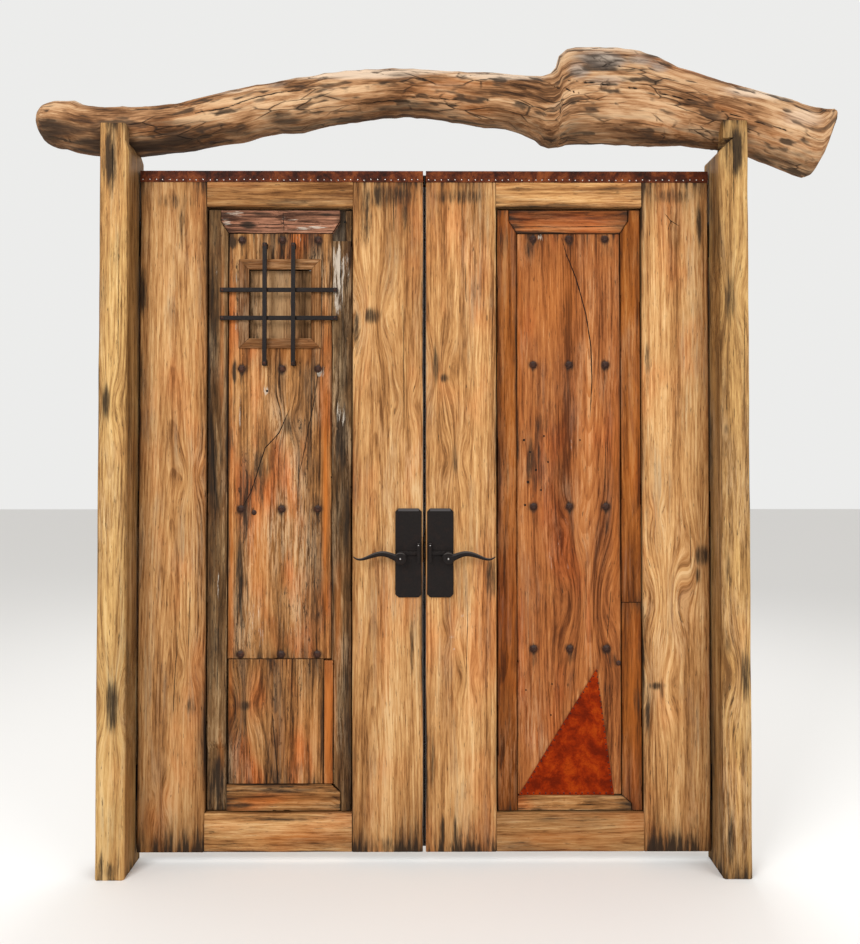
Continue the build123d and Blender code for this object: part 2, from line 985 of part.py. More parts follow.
def eight_sided(half_depth, half_height):
    """A forged bar's section, with its corners hammered off."""
    flat = 0.45
    corners = []
    for across, up in ((1, 1), (-1, 1), (-1, -1), (1, -1)):
        near_side = (across * half_depth, up * half_height * flat)
        near_end = (across * half_depth * flat, up * half_height)
        corners += [near_side, near_end] if across == up else [near_end, near_side]
    return Polygon(*corners, align=None)


def make_grip(side, middle_y):
    """The waved grip, as sections square to its middle line."""
    sections = grip_sections()
    faces = []
    for index, (across, up, half_height, half_depth) in enumerate(sections):
        before = sections[max(index - 1, 0)]
        after = sections[min(index + 1, len(sections) - 1)]
        direction = (side * (after[0] - before[0]), 0, after[1] - before[1])
        plane = Plane(
            origin=(side * (hub_x + across), middle_y, handle_height + up),
            x_dir=(0, 1, 0),
            z_dir=direction,
        )
        faces.append(plane * eight_sided(half_depth, half_height))
    return loft(faces)


def make_lever(side, front):
    """Neck, scroll hub, waved grip and, on the front, the bar that runs behind the strap."""
    away = -1 if front else 1
    face = 0 if front else leaf_thickness
    near = face + away * (plate_thickness + hub_front - hub_thickness)
    far = face + away * (plate_thickness + hub_front)
    x = side * hub_x
    neck_start = face - away * neck_depth
    neck = rod(x, handle_height, neck_radius, min(neck_start, near), max(neck_start, near))
    hub = rod(x, handle_height, hub_radius, min(near, far), max(near, far))
    hub = chamfer(hub.faces().sort_by(Axis.Y)[0 if front else -1].edges(), hub_chamfer)
    tip = far + away * boss_height
    boss = rod(x, handle_height, boss_radius, min(far, tip), max(far, tip))
    boss = chamfer(boss.faces().sort_by(Axis.Y)[0 if front else -1].edges(), boss_chamfer)
    lever = neck + hub + boss + make_grip(side, (near + far) / 2)
    if front:
        lever += lever_bar(side)
    lever -= spindle_socket(side)
    return lever


def lever_bar(side):
    """A flat bar from a collar on the neck towards the meeting line."""
    front = -(plate_thickness + bar_stand)
    back = front + bar_thickness
    collar = rod(side * hub_x, handle_height, hub_radius + 1, front, back)
    low = handle_height + bar_rise - bar_height / 2
    inner = side * (hub_x - bar_reach)
    bar = block((inner, side * hub_x), (front, back), (low, low + bar_height))
    return collar + bar


def spindle_ends(side):
    """The spindle reaches into both necks and stops short of the hubs' outer faces."""
    reach = plate_thickness + hub_front - hub_thickness
    return -reach + spindle_end_gap, leaf_thickness + reach - spindle_end_gap


def spindle_socket(side):
    near, far = spindle_ends(side)
    half = spindle_size / 2 + spindle_clearance
    return block(
        (side * hub_x - half, side * hub_x + half),
        (near - 0.5, far + 0.5),
        (handle_height - half, handle_height + half),
    )


def make_spindle(side):
    near, far = spindle_ends(side)
    half = spindle_size / 2
    return block(
        (side * hub_x - half, side * hub_x + half),
        (near, far),
        (handle_height - half, handle_height + half),
    )


def case_box(clearance):
    """The outside of the latch case, or its pocket in the stile."""
    middle = leaf_thickness / 2
    half = case_thickness / 2 + clearance
    return block(
        (meeting_edge, meeting_edge + case_depth + clearance),
        (middle - half, middle + half),
        (handle_height - case_below - clearance, handle_height - case_below + case_height + clearance),
    )


def case_pocket():
    return case_box(case_clearance)


def face_plate():
    middle = leaf_thickness / 2
    centre = handle_height - case_below + case_height / 2
    return block(
        (meeting_edge, meeting_edge + face_plate_thickness),
        (middle - face_plate_width / 2, middle + face_plate_width / 2),
        (centre - face_plate_height / 2, centre + face_plate_height / 2),
    )


def make_latch_case():
    middle = leaf_thickness / 2
    half = case_thickness / 2 - case_wall
    low = handle_height - case_below + case_wall
    inside = block(
        (meeting_edge + face_plate_thickness, meeting_edge + case_depth - case_wall),
        (middle - half, middle + half),
        (low, low + case_height - 2 * case_wall),
    )
    case = case_box(0.0) + face_plate() - inside
    case -= bolt_shape(meeting_edge - 1, meeting_edge + face_plate_thickness, bolt_clearance)
    return case - rod(hub_x, handle_height, neck_radius, 0, leaf_thickness)


def bolt_shape(start, end, clearance):
    middle = leaf_thickness / 2
    half = bolt_thickness / 2 + clearance
    centre = handle_height + follower_arm
    return block(
        (start, end),
        (middle - half, middle + half),
        (centre - bolt_height / 2 - clearance, centre + bolt_height / 2 + clearance),
    )


def make_latch_bolt():
    """Its nose is bevelled to the back, and the follower's arm lies in a notch under its tail."""
    start = meeting_edge - bolt_travel
    end = hub_x + follower_tip + notch_clearance + bolt_tail
    bolt = bolt_shape(start, end, 0.0)
    bevel = Plane(origin=(start, leaf_thickness / 2 + bolt_thickness / 2, 0)) * Polygon(
        (0, 0), (0, -bolt_thickness * 0.6), (bolt_travel * 0.9, 0), align=None
    )
    bolt -= Pos(0, 0, handle_height) * extrude(bevel, case_height)
    half = follower_tip + notch_clearance
    notch = block(
        (hub_x - half, hub_x + half),
        (0, leaf_thickness),
        (handle_height, handle_height + follower_arm + follower_tip + notch_clearance),
    )
    return bolt - notch


def make_follower():
    """A hub round the spindle with one arm that ends in a round tip."""
    middle = leaf_thickness / 2
    front = middle - follower_thickness / 2
    back = middle + follower_thickness / 2
    hub = rod(hub_x, handle_height, follower_radius, front, back)
    top = handle_height + follower_arm
    half = follower_arm_width / 2
    arm = block((hub_x - half, hub_x + half), (front, back), (handle_height, top))
    tip = rod(hub_x, top, follower_tip, front, back)
    return hub + arm + tip - spindle_socket(1)


def strike_blank():
    middle = leaf_thickness / 2
    centre = handle_height + follower_arm
    return block(
        (-meeting_edge, -meeting_edge - face_plate_thickness),
        (middle - face_plate_width / 2, middle + face_plate_width / 2),
        (centre - strike_height / 2, centre + strike_height / 2),
    )


def strike_pocket():
    return bolt_shape(-meeting_edge - strike_pocket_depth, -meeting_edge, 2.0)


def make_strike():
    return strike_blank() - bolt_shape(-meeting_edge - strike_pocket_depth, -meeting_edge, 1.5)


# Shutter


def shutter_right():
    return window_corner()[0] + window_width


def shutter_pin_x():
    return shutter_right() - shutter_gap / 2


def shutter_pin_y():
    return leaf_thickness + shutter_pin_behind


def shutter_hinge_heights():
    top = inset_top - window_down
    return top - shutter_hinge_inset, top - window_height + shutter_hinge_inset


def shutter_recess(height, moving):
    if moving:
        face = shutter_right() - shutter_gap
        far = face - shutter_plate_thickness
    else:
        face = shutter_right()
        far = face + shutter_plate_thickness
    return block(
        (face, far),
        (leaf_thickness - shutter_plate_reach, leaf_thickness),
        (height - shutter_hinge_length / 2, height + shutter_hinge_length / 2),
    )


def make_shutter():
    left, top = window_corner()
    board = block(
        (left + shutter_gap, left + window_width - shutter_gap),
        (old_back, leaf_thickness),
        (top - window_height + shutter_gap, top - shutter_gap),
    )
    board = ease(board, Axis.Z, 1.0)
    for height in shutter_hinge_heights():
        board -= shutter_recess(height, moving=True)
    return board


def shutter_hinge(height, moving):
    """One half of a small butt hinge. The fixed half carries the riveted pin."""
    plate = shutter_recess(height, moving)
    box = plate.bounding_box()
    x, y = shutter_pin_x(), shutter_pin_y()
    first = 1 if moving else 0
    half = plate
    for low, high in knuckle_spans(shutter_hinge_length, shutter_knuckles, hinge_knuckle_gap, height, first):
        half += block((box.min.X, box.max.X), (leaf_thickness, y), (low, high))
        half += upright_rod(x, y, shutter_knuckle_radius, low, high)
    low = height - shutter_hinge_length / 2 + hinge_knuckle_gap / 2
    high = height + shutter_hinge_length / 2 - hinge_knuckle_gap / 2
    if moving:
        return half - upright_rod(x, y, shutter_pin_radius + hinge_pin_clearance, low, high)
    return half + upright_rod(x, y, shutter_pin_radius, low, high)


def make_pull():
    """A turned wooden knob on the back of the shutter."""
    left, top = window_corner()
    x = left + shutter_gap + 28
    z = top - window_height / 2
    back = leaf_thickness
    profile = Polyline(
        (0, 0),
        (pull_radius * 0.6, 0),
        (pull_radius * 0.5, pull_height * 0.35),
        (pull_radius, pull_height * 0.7),
        (pull_radius * 0.7, pull_height),
        (0, pull_height),
        close=True,
    )
    turned = revolve(Plane.XZ * make_face(profile), Axis.Z)
    return Pos(x, back, z) * Rot(-90, 0, 0) * turned


# The whole gate


def build_frame_parts():
    posts = {side: make_post(side) for side in (-1, 1)}
    log = make_log(posts.values())
    screws = []
    washers = []
    for x, z in lag_places():
        log -= lag_hole(x, z)
        side = -1 if x < 0 else 1
        posts[side] -= lag_pilot(x, z)
        screws.append(lag_screw(x, z))
        washers.append(lag_washer(x, z))
    parts["left_post"] = posts[-1]
    parts["right_post"] = posts[1]
    parts["header_log"] = log
    parts["lag_screws"] = screws
    parts["lag_washers"] = washers


def build_hinges(side, name):
    parts[name + "_hinge_post_plates"] = [hinge_plate(side, z, leaf=False) for z in hinge_heights]
    parts[name + "_hinge_leaf_plates"] = [hinge_plate(side, z, leaf=True) for z in hinge_heights]
    parts[name + "_hinge_pins"] = [hinge_pin(side, z) for z in hinge_heights]


def build_leaf_frame(side, name):
    parts[name + "_hinge_stile"] = make_hinge_stile(side)
    parts[name + "_lock_stile"] = make_lock_stile(side)
    parts[name + "_top_rail"] = make_rail(side, inset_top, leaf_top)
    parts[name + "_bottom_rail"] = make_rail(side, leaf_bottom, inset_bottom)
    parts[name + "_cap"] = make_cap(side)
    parts[name + "_backing_board"] = make_backing(side)


def build_left_inset():
    panel = make_panel(-1)
    for x, z in nail_places(-1):
        panel -= nail_hole(x, z)
    left_stile = make_old_left_stile(-1)
    right_stile = make_old_right_stile_left_leaf()
    for hole in foot_nail_holes():
        panel -= hole
        left_stile -= hole
        right_stile -= hole
    parts["left_panel_board"] = panel
    parts["left_old_left_stile"] = left_stile
    parts["left_old_right_stile"] = right_stile
    parts["left_old_top_rail"] = make_old_top_rail(-1)
    parts["left_old_bottom_rail"] = make_old_bottom_rail(-1)
    parts["left_patch_board"] = make_patch_board()
    parts["left_patch_strip"] = make_patch_strip()
    parts["left_clavos"] = make_nails(-1)
    parts["window_moulding"] = make_moulding()
    parts["window_grille"] = make_grille()


def build_right_inset():
    panel = make_panel(1)
    for x, z in nail_places(1):
        panel -= nail_hole(x, z)
    parts["right_panel_board"] = panel
    parts["right_old_left_stile"] = make_old_left_stile(1)
    parts["right_old_top_rail"] = make_old_top_rail(1)
    parts["right_old_upper_stile"] = make_spliced_stile(upper=True)
    parts["right_old_lower_stile"] = make_spliced_stile(upper=False)
    parts["right_old_bottom_rail"] = make_old_bottom_rail(1)
    parts["right_patch"] = make_triangle()
    parts["right_clavos"] = make_nails(1)


def build_handles(side, name):
    parts[name + "_front_plate"] = make_plate(side, front=True)
    parts[name + "_back_plate"] = make_plate(side, front=False)
    parts[name + "_front_lever"] = make_lever(side, front=True)
    parts[name + "_back_lever"] = make_lever(side, front=False)
    parts[name + "_spindle"] = make_spindle(side)


def build_latch():
    parts["latch_case"] = make_latch_case()
    parts["latch_bolt"] = make_latch_bolt()
    parts["latch_follower"] = make_follower()
    parts["strike_plate"] = make_strike()


def build_shutter():
    heights = shutter_hinge_heights()
    parts["window_shutter"] = make_shutter()
    parts["shutter_fixed_hinges"] = [shutter_hinge(z, moving=False) for z in heights]
    parts["shutter_moving_hinges"] = [shutter_hinge(z, moving=True) for z in heights]
    parts["shutter_pull"] = make_pull()


def write_parts():
    os.makedirs("parts", exist_ok=True)
    for name, shape in parts.items():
        if isinstance(shape, list):
            solids = [solid for member in shape for solid in member.solids()]
        else:
            solids = shape.solids()
        whole = solids[0] if len(solids) == 1 else Compound(children=solids)
        whole.label = name
        export_step(whole, "parts/" + name + ".step")


build_frame_parts()
for leaf_side, leaf_name in ((-1, "left"), (1, "right")):
    build_hinges(leaf_side, leaf_name)
    build_leaf_frame(leaf_side, leaf_name)
    build_handles(leaf_side, leaf_name)
build_left_inset()
build_right_inset()
build_latch()
build_shutter()
write_parts()
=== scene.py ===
import math
import random

import bpy
import numpy as np
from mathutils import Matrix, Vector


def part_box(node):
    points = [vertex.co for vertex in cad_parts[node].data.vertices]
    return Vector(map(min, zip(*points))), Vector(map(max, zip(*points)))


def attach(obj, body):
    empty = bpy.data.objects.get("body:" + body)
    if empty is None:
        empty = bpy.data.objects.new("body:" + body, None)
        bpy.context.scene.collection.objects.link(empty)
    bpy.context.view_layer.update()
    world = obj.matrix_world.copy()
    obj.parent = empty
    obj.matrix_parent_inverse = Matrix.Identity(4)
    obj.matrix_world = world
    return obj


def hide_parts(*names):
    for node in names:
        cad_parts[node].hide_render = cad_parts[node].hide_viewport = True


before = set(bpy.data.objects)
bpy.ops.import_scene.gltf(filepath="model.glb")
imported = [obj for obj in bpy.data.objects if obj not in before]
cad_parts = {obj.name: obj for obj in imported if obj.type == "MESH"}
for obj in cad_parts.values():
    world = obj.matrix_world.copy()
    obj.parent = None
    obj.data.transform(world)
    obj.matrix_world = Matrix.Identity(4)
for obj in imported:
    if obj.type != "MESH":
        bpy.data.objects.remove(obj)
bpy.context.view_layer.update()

# The photograph's frame and the camera that it was taken with, in metres and pixels
PHOTO_WIDTH = 860.0
PHOTO_HEIGHT = 944.0
CAMERA_PLACE = (0.0064, -2.6006, 1.3158)
CAMERA_YAW = -0.0044
CAMERA_PITCH = 0.0172
FOCAL_PIXELS = 815.2
HORIZON_CENTRE = 434.1

# Leaf faces that pieces are placed on, from the frame
LEAF_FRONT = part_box("left_hinge_stile")[0][1]
LEAF_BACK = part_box("left_hinge_stile")[1][1]
LEAF_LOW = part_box("left_hinge_stile")[0][2]
LEAF_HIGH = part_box("left_hinge_stile")[1][2]


def on_plane(px, py, depth=LEAF_FRONT):
    """X and Z, in metres, of a photograph pixel on an upright plane at one depth."""
    right = (px - PHOTO_WIDTH / 2) / FOCAL_PIXELS
    up = -(py - HORIZON_CENTRE) / FOCAL_PIXELS
    forward = math.cos(CAMERA_PITCH) - up * math.sin(CAMERA_PITCH)
    rise = math.sin(CAMERA_PITCH) + up * math.cos(CAMERA_PITCH)
    x = right * math.cos(CAMERA_YAW) - forward * math.sin(CAMERA_YAW)
    y = right * math.sin(CAMERA_YAW) + forward * math.cos(CAMERA_YAW)
    reach = (depth - CAMERA_PLACE[1]) / y
    return CAMERA_PLACE[0] + x * reach, CAMERA_PLACE[2] + rise * reach


# Noise on arrays


def lattice(ix, iy, iz, seed):
    """A repeatable value between 0 and 1 for each whole-number place."""
    mixed = (ix * 374761393 + iy * 668265263 + iz * 2147483647 + seed * 1274126177) & 0xFFFFFFFF
    mixed = ((mixed ^ (mixed >> 13)) * 1274126177) & 0xFFFFFFFF
    mixed = ((mixed ^ (mixed >> 16)) * 2246822519) & 0xFFFFFFFF
    return ((mixed ^ (mixed >> 15)) & 0xFFFFFF) / float(0xFFFFFF)


def value_noise(x, y, z, seed=0):
    """Smooth noise between -1 and 1."""
    x, y, z = np.broadcast_arrays(np.asarray(x, float), np.asarray(y, float), np.asarray(z, float))
    ix, iy, iz = (np.floor(v).astype(np.int64) for v in (x, y, z))
    fx, fy, fz = x - ix, y - iy, z - iz
    fx, fy, fz = (f * f * (3 - 2 * f) for f in (fx, fy, fz))
    total = 0.0
    for dx in (0, 1):
        for dy in (0, 1):
            for dz in (0, 1):
                weight = (fx if dx else 1 - fx) * (fy if dy else 1 - fy) * (fz if dz else 1 - fz)
                total = total + weight * lattice(ix + dx, iy + dy, iz + dz, seed)
    return total * 2 - 1


def layered_noise(x, y, z, octaves=3, seed=0):
    total, size, scale = 0.0, 1.0, 1.0
    for octave in range(octaves):
        total = total + size * value_noise(x * scale, y * scale, z * scale, seed + octave * 17)
        size *= 0.5
        scale *= 2.03
    return total / 1.75


# Shader building


class Shader:
    """A small helper that adds nodes to one material and links them."""

    def __init__(self, name):
        self.material = bpy.data.materials.new(name)
        self.material.use_nodes = True
        self.tree = self.material.node_tree
        self.tree.nodes.clear()
        self.output = self.tree.nodes.new("ShaderNodeOutputMaterial")
        self.surface = self.tree.nodes.new("ShaderNodeBsdfPrincipled")
        self.link(self.surface.outputs["BSDF"], self.output.inputs["Surface"])

    def link(self, source, target):
        self.tree.links.new(source, target)

    def put(self, target, value):
        if isinstance(value, bpy.types.NodeSocket):
            self.link(value, target)
        else:
            target.default_value = value

    def node(self, kind, inputs=None, **settings):
        made = self.tree.nodes.new(kind)
        for key, value in settings.items():
            setattr(made, key, value)
        for key, value in (inputs or {}).items():
            self.put(made.inputs[key], value)
        return made

    def place(self, scale=(1, 1, 1), turn=(0, 0, 0), source=None):
        if source is None:
            source = self.node("ShaderNodeTexCoord").outputs["Object"]
        inputs = {"Vector": source, "Scale": scale, "Rotation": turn}
        return self.node("ShaderNodeMapping", inputs).outputs["Vector"]

    def noise(self, vector, scale, detail=4.0, rough=0.55, warp=0.0):
        inputs = {"Vector": vector, "Scale": scale, "Detail": detail, "Roughness": rough,
                  "Distortion": warp}
        return self.node("ShaderNodeTexNoise", inputs).outputs["Fac"]

    def math(self, operation, first, second=0.0):
        made = self.node("ShaderNodeMath", operation=operation)
        self.put(made.inputs[0], first)
        self.put(made.inputs[1], second)
        return made.outputs[0]

    def plus(self, first, second):
        return self.math("ADD", first, second)

    def minus(self, first, second):
        return self.math("SUBTRACT", first, second)

    def times(self, first, second):
        return self.math("MULTIPLY", first, second)

    def stretch(self, value, low, high, to_low=0.0, to_high=1.0):
        inputs = {"Value": value, "From Min": low, "From Max": high, "To Min": to_low, "To Max": to_high}
        return self.node("ShaderNodeMapRange", inputs, interpolation_type="SMOOTHSTEP").outputs["Result"]

    def ramp(self, value, stops):
        made = self.node("ShaderNodeValToRGB", {"Fac": value})
        elements = made.color_ramp.elements
        while len(elements) < len(stops):
            elements.new(0.5)
        for element, (place, colour) in zip(elements, stops):
            element.position = place
            element.color = (*colour, 1.0)
        return made.outputs["Color"]

    def blend(self, factor, first, second, mode="MIX"):
        made = self.node("ShaderNodeMix", data_type="RGBA", blend_type=mode)
        self.put(made.inputs[0], factor)
        self.put(made.inputs[6], first if isinstance(first, bpy.types.NodeSocket) else (*first, 1.0))
        self.put(made.inputs[7], second if isinstance(second, bpy.types.NodeSocket) else (*second, 1.0))
        return made.outputs[2]

    def attribute(self, name):
        return self.node("ShaderNodeAttribute", attribute_name=name).outputs["Fac"]

    def bump(self, height, strength, distance):
        inputs = {"Height": height, "Strength": strength, "Distance": distance}
        return self.node("ShaderNodeBump", inputs).outputs["Normal"]

    def finish(self, colour, rough, normal=None, metallic=0.0, specular=0.35):
        self.put(self.surface.inputs["Base Color"], colour)
        self.put(self.surface.inputs["Roughness"], rough)
        self.surface.inputs["Metallic"].default_value = metallic
        self.surface.inputs["Specular IOR Level"].default_value = specular
        if normal is not None:
            self.link(normal, self.surface.inputs["Normal"])
        return self.material


# Materials. Colours are linear


PORE_DARK = (0.020, 0.014, 0.010)
BARE_GREY = (0.13, 0.11, 0.09)
WARM_GLOW = (0.62, 0.22, 0.05)
SUN_BLEACH = (0.66, 0.48, 0.29)
ORANGE_WASH = (0.50, 0.145, 0.022)
DIRT_AND_SHADE = (0.34, 0.27, 0.22)
# CRACK_BLACK is painted shade inside the cracks
CRACK_BLACK = (0.008, 0.006, 0.005)
OLD_PAINT = (0.50, 0.43, 0.35)
RINGS_A_METRE = 120.0


class Wood(Shader):
    """Timber. Its mesh carries grain coordinates; where it has none, plain names the grain's axis."""

    def __init__(self, name, plain):
        super().__init__(name)
        self.split = None
        if plain is None:
            self.grain = self.node("ShaderNodeAttribute", attribute_name="grain_place").outputs["Vector"]
            self.from_pith = self.attribute("ring")
        else:
            self.grain = self.place(turn=(0, 0, 0) if plain == "z" else (0, math.pi / 2, 0))
            apart = self.node("ShaderNodeSeparateXYZ", {"Vector": self.grain})
            self.from_pith = self.plus(apart.outputs["X"], self.times(apart.outputs["Y"], 0.6))
        self.streaks = self.along(0.035, 75.0, 4.0, 0.6)
        self.fibres = self.along(0.035, 420.0, 3.0, 0.7)
        self.fine = self.along(0.07, 170.0, 5.0, 0.72)
        self.patches = self.stretch(self.along(0.22, 11.0, 4.0, 0.6), 0.46, 0.66)
        self.pores = self.stretch(self.along(0.10, 230.0, 3.0, 0.65), 0.60, 0.70)
        self.late = self.late_wood()

    def along(self, share, scale, detail, rough=0.55):
        """Noise drawn out along the grain: the smaller the share, the longer."""
        return self.noise(self.place(scale=(1, 1, share), source=self.grain), scale, detail, rough)

    def late_wood(self):
        """The dark bands of the growth rings, stronger in some places than in others."""
        wobble = self.along(0.035, 9.0, 2.0)
        count = self.plus(self.times(self.from_pith, RINGS_A_METRE), self.times(wobble, 3.2))
        phase = self.math("FRACT", count)
        band = self.times(self.stretch(phase, 0.35, 0.93), self.stretch(phase, 1.0, 0.93))
        return self.times(band, self.stretch(self.along(0.10, 8.0, 2.0), 0.35, 0.65, 0.25, 1.0))

    def ground(self, tones):
        """The wood's own colour, from its figure."""
        value = self.plus(self.times(self.along(0.035, 16.0, 3.0), 0.55), self.times(self.streaks, 0.45))
        value = self.plus(value, self.times(self.fibres, 0.20))
        value = self.plus(value, self.times(self.fine, 0.40))
        return self.ramp(self.minus(self.stretch(value, 0.60, 0.98), self.times(self.late, 0.25)), tones)

    def weathering(self, colour, weather, grey, warmth, bleach, eaten):
        """Warm and bleached areas, grey streaks, pores and worm-eaten specks."""
        glow = self.stretch(self.along(0.35, 7.0, 3.0), 0.48, 0.70)
        colour = self.blend(self.times(glow, warmth), colour, WARM_GLOW, mode="OVERLAY")
        worn = self.times(self.stretch(self.streaks, 0.40, 0.66), self.patches)
        colour = self.blend(self.times(worn, weather), colour, grey)
        sunny = self.stretch(self.along(0.3, 6.0, 3.0), 0.50, 0.72)
        sunny = self.times(sunny, self.stretch(self.fine, 0.42, 0.58))
        colour = self.blend(self.times(sunny, bleach), colour, SUN_BLEACH)
        colour = self.blend(self.times(self.pores, 0.70), colour, PORE_DARK)
        bites = self.stretch(self.along(0.20, 115.0, 6.0, 0.75), 0.53, 0.64)
        bites = self.times(bites, self.stretch(self.patches, 0.0, 0.6, 0.25, 1.0))
        return self.blend(self.times(bites, eaten), colour, PORE_DARK)

    def marking(self, colour):
        """What the mesh's attributes place: orange wash, dirt with painted shade, stains with painted shade
        at edges, cracks drawn dark as painted shade, and flakes of paint.
        """
        wash = self.times(self.attribute("blush"), self.stretch(self.streaks, 0.25, 0.55))
        colour = self.blend(self.times(wash, 0.75), colour, ORANGE_WASH)
        # Multiplies the colour by dusk: end and edge dirt, whole pieces darkened, and painted shade on side
        # faces and edges
        colour = self.blend(self.attribute("dusk"), colour, DIRT_AND_SHADE, mode="MULTIPLY")
        stain_and_shade = self.attribute("stain_and_shade")
        edge = self.minus(self.along(0.10, 130.0, 4.0, 0.7), 0.5)
        ragged = self.stretch(self.plus(stain_and_shade, self.times(edge, 1.3)), 0.15, 0.85)
        inked = self.times(ragged, self.stretch(stain_and_shade, 0.0, 0.22))
        colour = self.blend(self.times(inked, 0.93), colour, PORE_DARK)
        width = self.attribute("crack_width")
        offset = self.math("ABSOLUTE", self.plus(self.attribute("crack_offset"), self.times(edge, 4.5)))
        split = self.stretch(self.minus(width, offset), -0.5, 0.3)
        self.split = self.times(split, self.stretch(width, 0.0, 0.25))
        # Cracks are coloured near-black: painted shade for their depth
        colour = self.blend(self.split, colour, CRACK_BLACK)
        paint = self.attribute("paint")
        flakes = self.stretch(self.plus(paint, self.times(edge, 2.2)), 0.45, 0.62)
        flakes = self.times(flakes, self.stretch(paint, 0.0, 0.3))
        flakes = self.times(flakes, self.stretch(self.fine, 0.40, 0.53))
        return self.blend(self.times(flakes, 0.80), colour, OLD_PAINT)

    def relief(self):
        height = self.plus(self.times(self.fibres, 0.5), self.times(self.streaks, 0.5))
        height = self.minus(height, self.times(self.late, 0.25))
        height = self.minus(height, self.times(self.pores, 0.4))
        if self.split is not None:
            height = self.minus(height, self.times(self.split, 2.0))
        return self.bump(height, 0.6, 0.0025)


def wood(name, tones, weather=0.45, grey=BARE_GREY, warmth=0.25, bleach=0.35, eaten=0.15, plain=None):
    s = Wood(name, plain)
    colour = s.weathering(s.ground(tones), weather, grey, warmth, bleach, eaten)
    if plain is None:
        colour = s.marking(colour)
    rough = s.stretch(s.streaks, 0.3, 0.7, 0.60, 0.85)
    return s.finish(colour, rough, s.relief(), specular=0.07)


LOG_TONES = [(0.0, (0.025, 0.011, 0.005)), (0.3, (0.15, 0.066, 0.026)), (0.6, (0.35, 0.180, 0.082)),
             (1.0, (0.60, 0.39, 0.22))]
LOG_ORANGE = (0.38, 0.13, 0.035)
LOG_BLEACHED = (0.68, 0.52, 0.38)
LOG_SILVER = ((0.07, 0.06, 0.052), (0.36, 0.31, 0.265))
LOG_STAIN_AND_SHADE = (0.030, 0.020, 0.014)
# CLEFT_BLACK and CHECK_BLACK are painted shade in the clefts and checks
CLEFT_BLACK = (0.010, 0.007, 0.005)
CHECK_BLACK = (0.02, 0.012, 0.008)


def log_areas(s, colour, streaks, blotch):
    """Bleached, grey and stained areas, painted shade below, and clefts drawn dark as painted shade, where
    the log's attributes place them.
    """
    grainy = s.minus(streaks, 0.5)
    bleached = s.stretch(s.plus(s.attribute("pale"), s.times(grainy, 1.0)), 0.25, 0.95)
    colour = s.blend(s.times(bleached, 0.85), colour, LOG_BLEACHED)
    silver = s.blend(s.stretch(streaks, 0.35, 0.65), *LOG_SILVER)
    greyed = s.stretch(s.plus(s.attribute("grey"), s.times(s.minus(blotch, 0.5), 1.2)), 0.25, 0.8)
    colour = s.blend(s.times(greyed, 0.85), colour, silver)
    ragged = s.stretch(s.plus(s.attribute("stain_and_shade"), s.times(grainy, 1.3)), 0.15, 0.85)
    # Stains, and the painted shade under the log
    colour = s.blend(s.times(ragged, 0.9), colour, LOG_STAIN_AND_SHADE)
    return s.blend(s.stretch(s.attribute("cleft"), 0.25, 0.75), colour, CLEFT_BLACK)


def driftwood(name):
    """The weathered log: bleached above, dark below as painted shade, with orange and grey areas and short
    checks drawn dark as painted shade.
    """
    s = Shader(name)
    place = s.node("ShaderNodeAttribute", attribute_name="grain_place").outputs["Vector"]
    long_way = s.place(scale=(1, 1, 0.07), source=place)
    medium = s.place(scale=(1, 1, 0.30), source=place)
    streaks = s.noise(long_way, 55.0, detail=5.0, rough=0.62)
    fibres = s.noise(long_way, 260.0, detail=3.0)
    blotch = s.noise(medium, 8.0, detail=5.0, rough=0.62, warp=0.4)
    value = s.plus(s.times(blotch, 0.75), s.times(streaks, 0.55))
    value = s.plus(value, s.times(fibres, 0.25))
    colour = s.ramp(s.stretch(value, 0.56, 0.96), LOG_TONES)
    orange = s.stretch(s.noise(medium, 5.5, detail=4.0), 0.50, 0.66)
    colour = s.blend(s.times(orange, 0.5), colour, LOG_ORANGE)
    colour = log_areas(s, colour, streaks, blotch)
    cells = {"Vector": s.place(scale=(1, 1, 0.22), source=place), "Scale": 34.0}
    checks = s.node("ShaderNodeTexVoronoi", cells, feature="DISTANCE_TO_EDGE").outputs["Distance"]
    where = s.stretch(s.noise(medium, 12.0, detail=3.0), 0.47, 0.60)
    thin = s.times(s.stretch(checks, 0.045, 0.0), where)
    # The checks are darkened as painted shade in their hollows
    colour = s.blend(s.times(thin, 0.85), colour, CHECK_BLACK)
    height = s.plus(s.times(streaks, 1.0), s.times(fibres, 0.3))
    height = s.minus(height, s.times(thin, 0.9))
    rough = s.stretch(streaks, 0.3, 0.7, 0.6, 0.9)
    return s.finish(colour, rough, s.bump(height, 0.7, 0.005), specular=0.10)


IRON_DEEP = (0.008, 0.006, 0.006)
IRON_TOP_HIGHLIGHT = (0.13, 0.118, 0.11)


def iron(name, light=(0.013, 0.010, 0.009), rust=0.10, brown=(0.05, 0.020, 0.011), metallic=0.3, worn=0.75):
    """Blackened forged iron with hammer marks, a trace of rust and upper faces painted lighter as a
    highlight.
    """
    s = Shader(name)
    place = s.place()
    hammer = s.node("ShaderNodeTexVoronoi", {"Vector": place, "Scale": 75.0}, feature="SMOOTH_F1")
    grain = s.noise(place, 260.0, detail=4.0)
    rusty = s.stretch(s.noise(place, 45.0, detail=4.0), 0.45, 0.68)
    colour = s.blend(s.times(rusty, rust), light, brown)
    colour = s.blend(s.stretch(grain, 0.35, 0.65, 0.0, 0.5), colour, IRON_DEEP)
    normal = s.node("ShaderNodeTexCoord").outputs["Normal"]
    upward = s.node("ShaderNodeSeparateXYZ", {"Vector": normal}).outputs["Z"]
    # Painted highlight: faces turned upward are blended lighter, as strong as the worn setting
    colour = s.blend(s.times(s.stretch(upward, 0.35, 0.95), worn), colour, IRON_TOP_HIGHLIGHT)
    height = s.plus(s.times(hammer.outputs["Distance"], 0.6), s.times(grain, 0.3))
    rough = s.stretch(grain, 0.3, 0.7, 0.40, 0.60)
    return s.finish(colour, rough, s.bump(height, 0.45, 0.0015), metallic=metallic, specular=0.14)


